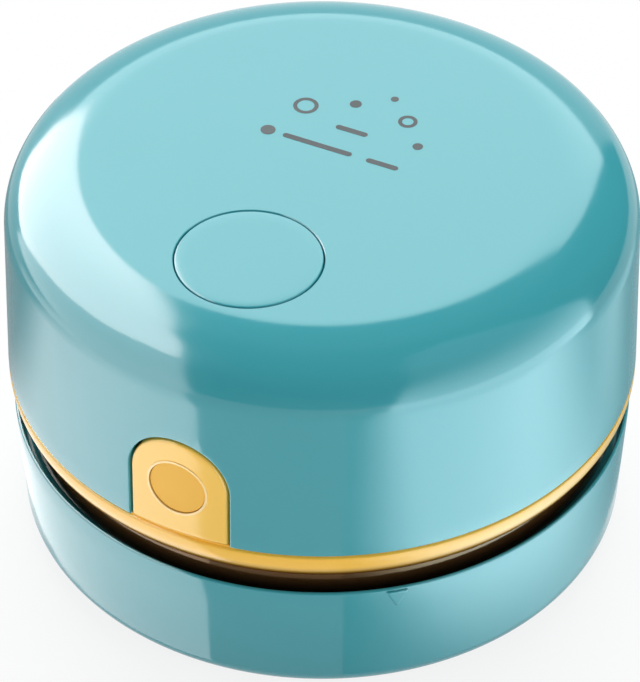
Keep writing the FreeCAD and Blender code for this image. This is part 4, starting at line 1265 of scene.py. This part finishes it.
class Motif(Enum):
    """The plain figures of the print on the top."""

    DOT = "dot"
    RING = "ring"
    BAR = "bar"


@dataclass
class TopPrint:
    """A plain print behind the button: dots, rings and short bars."""

    ink: float = 0.02 * MM
    bar: float = 0.9 * MM
    line: float = 0.55 * MM
    points: int = 48
    fill: int = 3

    def figure(self, motif: Motif, x: float, y: float, size: float,
               height: float) -> bpy.types.Object:
        """Return one figure of the print.

        Args:
            motif: Which figure it is.
            x: Its middle across the top.
            y: Its middle along the top.
            size: Its width, or a bar's length.
            height: The height of the shell's top.

        Returns:
            The figure, a thin layer of ink.
        """
        face = Table(height + self.ink)
        loops = [(0.0, 0.0), (0.0, 2 * self.ink)]
        if motif is Motif.BAR:
            outline = capsule(size, self.bar, x, y)
            return inlay("print_bar", outline, loops, face, self.fill)
        disc = inlay("print_dot", circle(x, y, size / 2, self.points), loops, face, self.fill)
        if motif is Motif.RING:
            hollow = inlay("print_hole", circle(x, y, size / 2 - self.line, self.points),
                           [(0.0, -MM), (0.0, MM)], face, self.fill)
            carved(disc, [hollow])
        return disc

    def build(self, shell: TopShell) -> list[bpy.types.Object]:
        """Build the print."""
        figures = [
            (Motif.DOT, -9.6, 3.4, 2.0), (Motif.BAR, -2.4, 3.4, 10.0),
            (Motif.BAR, 7.0, 3.4, 4.6), (Motif.RING, -7.4, 10.2, 3.4),
            (Motif.BAR, 0.4, 8.0, 4.6), (Motif.DOT, -1.6, 13.4, 1.6),
            (Motif.RING, 6.2, 13.0, 2.6), (Motif.DOT, 9.6, 8.8, 1.4),
            (Motif.DOT, 2.6, 16.6, 1.1),
        ]
        made = [self.figure(motif, x * MM, y * MM, size * MM, shell.top)
                for motif, x, y, size in figures]
        return [dressed(merged("top_print", made), Finish.INK, "power_unit", "aqua_gloss")]


@dataclass
class DustCup:
    """The see-through cup, with its lugs and the bar that the tab's leg hooks under."""

    radius: float = 38.2 * MM
    band: float = 40.3 * MM
    wall: float = 1.4 * MM
    corner: float = 2.4 * MM
    shoulder: float = 12.1 * MM
    rim_round: float = 0.3 * MM
    step_round: float = 0.5 * MM
    hole: float = 9.45 * MM
    lug: float = 39.3 * MM
    lug_level: float = 2.6 * MM
    lug_height: float = 1.4 * MM
    lug_reach: float = 24
    catch_half: float = 5 * MM
    catch_depth: float = 1.1 * MM
    catch_drop: float = 3.4 * MM
    catch_height: float = 1 * MM

    def build(self) -> list[bpy.types.Object]:
        """Build the cup with its shoulder and lugs."""
        low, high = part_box("dust_cup")
        shoulder = low.z + self.shoulder
        cup = spun("dust_cup_wall", [
            Corner(self.hole, low.z),
            Corner(self.radius, low.z, self.corner),
            Corner(self.radius, shoulder, self.rim_round),
            Corner(self.band, shoulder, self.step_round),
            Corner(self.band, high.z, self.rim_round),
            Corner(self.band - self.wall, high.z, self.rim_round),
            Corner(self.band - self.wall, shoulder + self.wall, self.rim_round),
            Corner(self.radius - self.wall, shoulder + self.wall, self.step_round),
            Corner(self.radius - self.wall, low.z + self.wall, self.corner - self.wall),
            Corner(self.hole, low.z + self.wall),
        ], WALL_FACES)
        lug_low = low.z + self.lug_level
        lug = sector("cup_lug", (self.radius - self.wall / 2, self.lug),
                     (lug_low, lug_low + self.lug_height), self.lug_reach)
        lugs = repeated("cup_lugs", lug, 4, 45, 90, Finish.SMOKE)
        catch_low = high.z - self.catch_drop
        catch = block("cup_catch", (-self.catch_half, self.catch_half),
                      (-(self.band - self.wall / 2), -(self.band - self.wall - self.catch_depth)),
                      (catch_low, catch_low + self.catch_height))
        carved(cup, [lugs, catch], "UNION")
        return [dressed(cup, Finish.SMOKE, "dust_cup", "smoked_clear", "dust_cup")]


@dataclass
class Base:
    """The base ring with its raised mark, its lugs and the brush."""

    lip: float = 41.8 * MM
    foot: float = 40.8 * MM
    foot_round: float = 3.0 * MM
    lip_round: float = 0.34 * MM
    lip_bore: float = 41.3 * MM
    bore: float = 39.6 * MM
    step: float = 2.0 * MM
    flange: float = 1.6 * MM
    flange_bore: float = 31.5 * MM
    mark_bearing: float = 39.4
    mark_half: float = 1.55 * MM
    mark_height: float = 3.1 * MM
    mark_drop: float = 0.32 * MM
    mark_proud: float = 0.34 * MM
    mark_edge: float = 0.26 * MM
    mark_root: float = 0.4 * MM
    tufts: int = 56
    hairs: int = 20
    brush: float = 29.1 * MM
    tuft: float = 0.85 * MM
    tuft_fill: float = 0.75
    hair_reach: float = 0.98
    hair_lean: float = 0.12
    hair: float = 0.09 * MM
    seed: int = 7
    lug_level: float = 8.7 * MM
    stop_level: float = 7.0 * MM
    lug_bore: float = 38.5 * MM
    lug_root: float = 0.2 * MM
    lug_height: float = 1.4 * MM
    lug_reach: float = 40
    stop_reach: float = 3
    stop_turn: float = 13.93
    screw_place: float = 34.6 * MM
    screw_sink: float = 0.9 * MM
    screw_head: float = 2.0 * MM

    def build(self) -> list[bpy.types.Object]:
        """Build the ring, the mark and the bristles."""
        low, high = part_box("base_ring")
        ring = spun("base_ring_wall", [
            Corner(self.flange_bore, low.z, FINE_ROUND),
            Corner(self.foot, low.z, self.foot_round),
            Corner(self.lip, high.z, self.lip_round),
            Corner(self.lip_bore, high.z, FINE_ROUND),
            Corner(self.lip_bore, high.z - self.step),
            Corner(self.bore, high.z - self.step, FINE_ROUND),
            Corner(self.bore, low.z + self.flange),
            Corner(self.flange_bore, low.z + self.flange),
        ], WALL_FACES)
        depth = (self.lug_bore, self.bore + self.lug_root)
        lug_low = low.z + self.lug_level
        lug_high = lug_low + self.lug_height
        lug = sector("ring_lug", depth, (lug_low, lug_high), self.lug_reach)
        stop = sector("ring_stop", depth, (low.z + self.stop_level, lug_high), self.stop_reach)
        sink = spun("screw_sink", [
            Corner(0, low.z - MM), Corner(self.screw_head, low.z - MM),
            Corner(self.screw_head, low.z + self.screw_sink), Corner(MM, low.z + self.screw_sink),
            Corner(MM, low.z + 2 * self.flange), Corner(0, low.z + 2 * self.flange),
        ], STEM_FACES)
        shifted(sink, 0, -self.screw_place)
        carved(ring, [repeated("screw_sinks", sink, 4, 45, 90, Finish.AQUA)])
        lugs = merged("base_lugs", [
            repeated("ring_lugs", lug, 4, 45, 90, Finish.AQUA),
            repeated("ring_stops", stop, 4, 45 - self.stop_turn, 90, Finish.AQUA),
        ])
        face = Wall(low.z + self.foot_round, self.foot, high.z, self.lip)
        triangle = wedge(self.mark_half, high.z - self.mark_drop, self.mark_height, FINE_ROUND)
        loops = [(draw, inset - self.mark_proud) for draw, inset in rounded_edge(self.mark_edge)]
        mark = inlay("twist_mark", triangle, loops + [(0.0, self.mark_root)], face, 4)
        turned(mark, self.mark_bearing)
        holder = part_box("brush_holder")[0].z
        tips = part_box("bristles")[0].z
        brush = BRUSH_RING.grown("brush_tufts", Tufts=self.tufts, Hairs=self.hairs,
                                 Ring=self.brush, Tuft=self.tuft * self.tuft_fill,
                                 Root=holder, Length=(holder - tips) * self.hair_reach,
                                 Thickness=self.hair, Lean=self.hair_lean, Seed=self.seed,
                                 Finish=Finish.FIBRE.material)
        return [
            dressed(ring, Finish.AQUA, "base", "aqua_gloss", "base_ring"),
            dressed(lugs, Finish.AQUA, "base", "aqua_gloss"),
            dressed(mark, Finish.AQUA, "base", "aqua_gloss"),
            dressed(brush, Finish.FIBRE, "base", "bristle_fibre", "bristles"),
        ]


class InnerParts:
    """The frame's own nodes that keep their shape and get a finish."""

    finishes = {
        Finish.GREY: ("base_plate", "brush_holder", "fan_cover", "fan_deck", "filter_frame"),
        Finish.RUBBER: ("feet", "cup_seal"),
        Finish.FOAM: ("battery_pad",),
        Finish.STEEL: ("base_screws", "cover_screws", "deck_screws", "motor_screws",
                       "board_screws", "motor_can", "battery_tabs", "charge_socket",
                       "latch_spring", "motor_shaft"),
        Finish.BLACK: ("motor_cap", "board_parts", "push_switch", "switch_plunger"),
        Finish.BRONZE: ("motor_bushes",),
        Finish.LEAD: ("motor_leads", "battery_leads"),
        Finish.WRAP: ("battery_cell",),
        Finish.BOARD: ("circuit_board",),
        Finish.WHITE: ("impeller",),
        Finish.FELT: ("filter_pad",),
        Finish.SMOKE: ("inlet_duct",),
    }

    def build(self) -> list[bpy.types.Object]:
        """Dress the nodes."""
        pieces = []
        for finish, nodes in self.finishes.items():
            for node in nodes:
                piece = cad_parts[node]
                piece.data.materials.clear()
                piece.data.materials.append(finish.material)
                pieces.append(piece)
        return pieces


@dataclass(frozen=True)
class Fade:
    """How a card's glow falls off along a direction, from full to its last share."""

    along: tuple[float, float, float]
    start: float
    end: float
    last: float


def faced(thing: bpy.types.Object, direction: Vector) -> None:
    """Turn a lamp or the camera so that it looks along a direction."""
    thing.rotation_euler = direction.to_track_quat("-Z", "Y").to_euler()


def straight_ray(tree: bpy.types.NodeTree) -> bpy.types.NodeSocket:
    """Return 1 for a ray that the camera, a gloss or a clear piece sends, else 0."""
    path = tree.nodes.new("ShaderNodeLightPath")
    found = path.outputs["Is Camera Ray"]
    for name in ("Is Glossy Ray", "Is Transmission Ray"):
        either = tree.nodes.new("ShaderNodeMath")
        either.operation = "MAXIMUM"
        tree.links.new(found, either.inputs[0])
        tree.links.new(path.outputs[name], either.inputs[1])
        found = either.outputs[0]
    return found


@dataclass
class Studio:
    """The floor, the lamps, the reflectors and the camera."""

    azimuth: float = 26.05
    elevation: float = 41.2
    distance: float = 560 * MM
    aim_height: float = 26.9 * MM
    aim_side: float = -0.3 * MM
    focal_pixels: float = 4147.0
    frame_height: float = 682.0
    sensor: float = 36.0
    clip: tuple[float, float] = (0.05, 20)
    card_foot: float = 43.0 * MM
    card_reach: float = 160 * MM
    card_lift: float = 0.2 * MM
    card_steps: int = 12
    floor_size: float = 6
    floor_paper: float = 0.9
    floor_white: float = 0.85
    world_light: float = 0.43

    def floor(self) -> None:
        """Lay a pale floor that keeps the cleaner's shadow."""
        desk = ShaderDesk("floor_paper")
        paper = desk.node("ShaderNodeBsdfDiffuse", Color=grey(self.floor_paper))
        glow = desk.node("ShaderNodeEmission", Color=grey(1.0), Strength=1.0)
        mixed = desk.node("ShaderNodeMixShader")
        desk.link(desk.scaled(straight_ray(desk.tree), self.floor_white), mixed.inputs[0])
        desk.link(paper.outputs[0], mixed.inputs[1])
        desk.link(glow.outputs[0], mixed.inputs[2])
        desk.link(mixed.outputs[0], desk.output.inputs["Surface"])
        bpy.ops.mesh.primitive_plane_add(size=self.floor_size)
        floor = bpy.context.object
        floor.name = "studio_floor"
        floor.data.materials.append(desk.material)

    def world(self) -> None:
        """Surround the scene with even pale light."""
        world = bpy.data.worlds.new("studio_world")
        bpy.context.scene.world = world
        world.use_nodes = True
        nodes = world.node_tree.nodes
        links = world.node_tree.links
        nodes.clear()
        output = nodes.new("ShaderNodeOutputWorld")
        around = nodes.new("ShaderNodeBackground")
        around.inputs["Color"].default_value = grey(1.0)
        around.inputs["Strength"].default_value = self.world_light
        seen = nodes.new("ShaderNodeBackground")
        seen.inputs["Color"].default_value = grey(1.0)
        seen.inputs["Strength"].default_value = 1.0
        mixed = nodes.new("ShaderNodeMixShader")
        links.new(straight_ray(world.node_tree), mixed.inputs[0])
        links.new(around.outputs[0], mixed.inputs[1])
        links.new(seen.outputs[0], mixed.inputs[2])
        links.new(mixed.outputs[0], output.inputs["Surface"])

    @property
    def middle(self) -> Vector:
        """The point that the lamps and the camera face."""
        return Vector((0, 0, self.aim_height))

    def seen(self, x: float, y: float, z: float) -> Vector:
        """Turn a point from the camera's side of the cleaner into the frame.

        Args:
            x: To the camera's right.
            y: Away from the camera.
            z: Up.

        Returns:
            The point in the frame.
        """
        return Matrix.Rotation(math.radians(self.azimuth), 3, "Z") @ Vector((x, y, z))

    def around(self, azimuth: float, elevation: float, distance: float) -> Vector:
        """Return a point round the cleaner's middle, from the camera's azimuth."""
        a = math.radians(azimuth)
        e = math.radians(elevation)
        back = self.seen(math.sin(a) * math.cos(e), -math.cos(a) * math.cos(e), math.sin(e))
        return self.middle + back * distance

    def level(self, turn: float) -> Vector:
        """Return the level direction at an angle in radians from the camera's azimuth."""
        return self.seen(math.sin(turn), -math.cos(turn), 0)

    def sun(self, name: str, azimuth: float, elevation: float, spread: float,
            power: float) -> None:
        """Light the scene evenly from a large soft source that shows in no reflection.

        Args:
            name: The light's name.
            azimuth: Its direction from the camera's azimuth, in degrees.
            elevation: Its height in degrees.
            spread: How wide it is, in degrees.
            power: Its power in watts for each square metre.
        """
        data = bpy.data.lights.new(name, "SUN")
        data.angle = math.radians(spread)
        data.energy = power
        sun = placed(name, data)
        faced(sun, self.around(azimuth, elevation, -1) - self.middle)
        sun.visible_glossy = False

    def lamp(self, name: str, azimuth: float, elevation: float, distance: float,
             size: tuple[float, float], power: float) -> None:
        """Hang an area lamp that faces the cleaner and shows in no reflection.

        Args:
            name: The lamp's name.
            azimuth: Its direction from the camera's azimuth, in degrees.
            elevation: Its height in degrees.
            distance: How far it is from the cleaner.
            size: Its width and height.
            power: Its power in watts.
        """
        data = bpy.data.lights.new(name, "AREA")
        data.shape = "RECTANGLE"
        data.size, data.size_y = size
        data.energy = power
        lamp = placed(name, data)
        place = self.around(azimuth, elevation, distance)
        lamp.location = place
        faced(lamp, self.middle - place)
        lamp.visible_glossy = False

    def card(self, name: str, corners: Sequence[Vector], glow: float, *fades: Fade,
             tint: Colour = grey(1.0)) -> None:
        """Put up a glowing card that only reflections see.

        Args:
            name: The card's name.
            corners: Its corners in order, in the frame.
            glow: How bright it is, where 1 is white.
            fades: How the glow falls off.
            tint: Its colour.
        """
        desk = ShaderDesk(name)
        light = desk.node("ShaderNodeEmission", Color=tint)
        strength = glow
        for fade in fades:
            dot = desk.node("ShaderNodeVectorMath")
            dot.operation = "DOT_PRODUCT"
            dot.inputs[1].default_value = self.seen(*fade.along).normalized()
            desk.link(desk.place, dot.inputs[0])
            share = desk.ranged(dot.outputs["Value"], (fade.start, fade.end), 1.0,
                                fade.last, True)
            strength = desk.scaled(share, strength)
        desk.feed(strength, light.inputs["Strength"])
        desk.link(light.outputs[0], desk.output.inputs["Surface"])
        middle = sum(corners, Vector()) / len(corners)
        count = len(corners)
        mesh = bpy.data.meshes.new(name)
        mesh.from_pydata([tuple(corner) for corner in (*corners, middle)], [],
                         [(k, (k + 1) % count, count) for k in range(count)])
        mesh.materials.append(desk.material)
        card = placed(name, mesh)
        card.visible_camera = False
        card.visible_diffuse = False
        card.visible_transmission = False
        card.visible_shadow = False

    def sky_card(self, name: str, directions: Sequence[tuple[float, float]], glow: float,
                 *fades: Fade, reach: float = 0.6,
                 tint: Colour = grey(1.0)) -> None:
        """Hang a card whose corners lie in given directions from the cleaner.

        Args:
            name: The card's name.
            directions: The azimuth and elevation of each corner, from the camera's azimuth.
            glow: How bright it is.
            fades: How the glow falls off.
            reach: How far away it hangs.
            tint: Its colour.
        """
        self.card(name, [self.around(azimuth, elevation, reach)
                         for azimuth, elevation in directions], glow, *fades, tint=tint)

    def floor_card(self, name: str, first: float, last: float, glow: float, *fades: Fade,
                   tint: Colour = grey(1.0)) -> None:
        """Lay a card beside the cleaner, whose edges run as the wall mirrors them.

        Args:
            name: The card's name.
            first: The bearing of the wall's point where its near edge starts, from the
                camera's azimuth in degrees.
            last: The direction of its far edge.
            glow: How bright it is.
            fades: How the glow falls off.
            tint: Its colour.
        """
        a = math.radians(first)
        foot = self.level(a) * self.card_foot
        corners = [foot]
        steps = self.card_steps
        for step in range(steps + 1):
            turn = math.radians(2 * first + (last - 2 * first) * step / steps)
            corners.append(foot + self.level(turn) * self.card_reach)
        for step in range(steps):
            turn = math.radians(last + (first - last) * step / steps)
            corners.append(self.level(turn) * self.card_foot)
        lift = Vector((0, 0, self.card_lift))
        self.card(name, [corner + lift for corner in corners], glow, *fades, tint=tint)

    def wall_card(self, name: str, ends: tuple[tuple[float, float], tuple[float, float]],
                  height: tuple[float, float], glow: float,
                  tint: Colour = grey(1.0)) -> None:
        """Stand an upright card.

        Args:
            name: The card's name.
            ends: The azimuth and distance of each of its ends.
            height: Its lower and upper edge.
            glow: How bright it is.
            tint: Its colour.
        """
        feet = [self.level(math.radians(azimuth)) * distance for azimuth, distance in ends]
        low, high = Vector((0, 0, height[0])), Vector((0, 0, height[1]))
        self.card(name, [feet[0] + low, feet[1] + low, feet[1] + high, feet[0] + high], glow,
                  tint=tint)

    def camera(self) -> None:
        """Set the camera at the photograph's viewing angle."""
        data = bpy.data.cameras.new("camera")
        data.sensor_width = self.sensor
        data.lens = self.focal_pixels / self.frame_height * self.sensor
        data.clip_start, data.clip_end = self.clip
        camera = placed("camera", data)
        a = math.radians(self.azimuth)
        side = Vector((math.cos(a), math.sin(a), 0)) * self.aim_side
        place = self.around(0, self.elevation, self.distance) + side
        camera.location = place
        faced(camera, self.middle + side - place)
        bpy.context.scene.camera = camera

    def build(self) -> None:
        """Set up the studio."""
        self.floor()
        self.world()
        self.sun("sun_top", 180, 52, 60, 2.55)
        self.lamp("lamp_right", 75, 12, 0.7, (0.4, 0.3), 0.5)
        self.lamp("lamp_front", -8, 8, 0.8, (0.5, 0.25), 0.95)
        cool = (0.72, 0.94, 1.0, 1.0)
        self.floor_card("card_floor_left", -22.6, -165, 4.4,
                        Fade((0, 1, 0), -70 * MM, 45 * MM, 0.36),
                        Fade((0, 1, 0), 0.0, 30 * MM, 0.3),
                        Fade((-0.8, -0.6, 0), 74 * MM, 44 * MM, 0.78))
        self.floor_card("card_floor_right", 4, 160, 6.6,
                        Fade((0, 1, 0), -50 * MM, 2 * MM, 0.24),
                        Fade((0.95, 0.31, 0), 14 * MM, -18 * MM, 0.15),
                        Fade((0.8, -0.6, 0), 60 * MM, 36 * MM, 0.3), tint=cool)
        far = self.card_lift / 2
        self.card("card_floor_far_left", [
            self.seen(-0.108, -0.125, far), self.seen(-0.45, -0.51, far),
            self.seen(-0.66, 0.30, far), self.seen(-0.16, 0.06, far),
        ], 4.1, Fade((0, 1, 0), -40 * MM, 130 * MM, 0.16))
        self.card("card_floor_far_right", [
            self.seen(0.055, -0.155, far), self.seen(0.22, -0.58, far),
            self.seen(0.64, 0.05, far), self.seen(0.17, 0.0, far),
        ], 7.2, tint=cool)
        self.sky_card("card_left", [
            (-41, -2.5), (-43, 14), (-48, 33), (-55, 48), (-66, 57), (-74, 52), (-92, 40),
            (-108, 26), (-122, 10), (-124, -2.5),
        ], 4.4, reach=0.64)
        self.sky_card("card_right", [
            (22, -2.5), (25, 20), (32, 42), (42, 64), (62, 73), (95, 70), (95, -2.5),
        ], 5.2, Fade((0, 0, 1), 0.0, 0.42, 0.16), tint=cool)
        self.wall_card("card_back", ((146, 0.8), (212, 0.8)), (0.3, 0.87), 4.4,
                       (0.86, 1.0, 1.0, 1.0))
        self.wall_card("card_dark_back", ((140, 0.9), (220, 0.9)), (0.5, 2.1), 0.0)
        self.wall_card("card_dark_front", ((-66, 1.2), (26.2, 1.2)), (0.0, 1.6), 0.0)
        self.wall_card("card_dark_right", ((26.2, 1.5), (149, 1.5)), (0.0, 1.5), 0.0)
        self.card("card_dark_top", [
            self.seen(-0.9, -1.4, 1.1), self.seen(1.3, -1.4, 1.1),
            self.seen(1.3, 0.75, 1.1), self.seen(-0.9, 0.75, 1.1),
        ], 0.0)
        self.sky_card("softbox_left", [
            (-60, 50), (-72, 43), (-92, 32), (-108, 18), (-122, 6), (-140, 4), (-152, 15),
            (-162, 30), (-168, 44), (-166, 51), (-156, 58), (-140, 64), (-120, 66.5),
            (-100, 65.5), (-82, 64), (-70, 60),
        ], 10.8, tint=(1.0, 0.93, 0.91, 1.0))
        self.camera()
        bpy.context.scene.view_settings.view_transform = "Standard"


def main() -> None:
    """Build the cleaner's pieces in order and set up the studio."""
    shell = TopShell()
    pieces = InnerParts().build()
    pieces += shell.build()
    pieces += TrimRing().build()
    pieces += ReleaseTab().build(shell)
    pieces += PowerButton().build()
    pieces += TopPrint().build(shell)
    pieces += DustCup().build()
    pieces += Base().build()
    Studio().build()
    LOG.info("%d pieces in all", len(pieces))


if __name__ == "__main__":
    logging.basicConfig(level=logging.INFO, format="%(message)s")
    main()
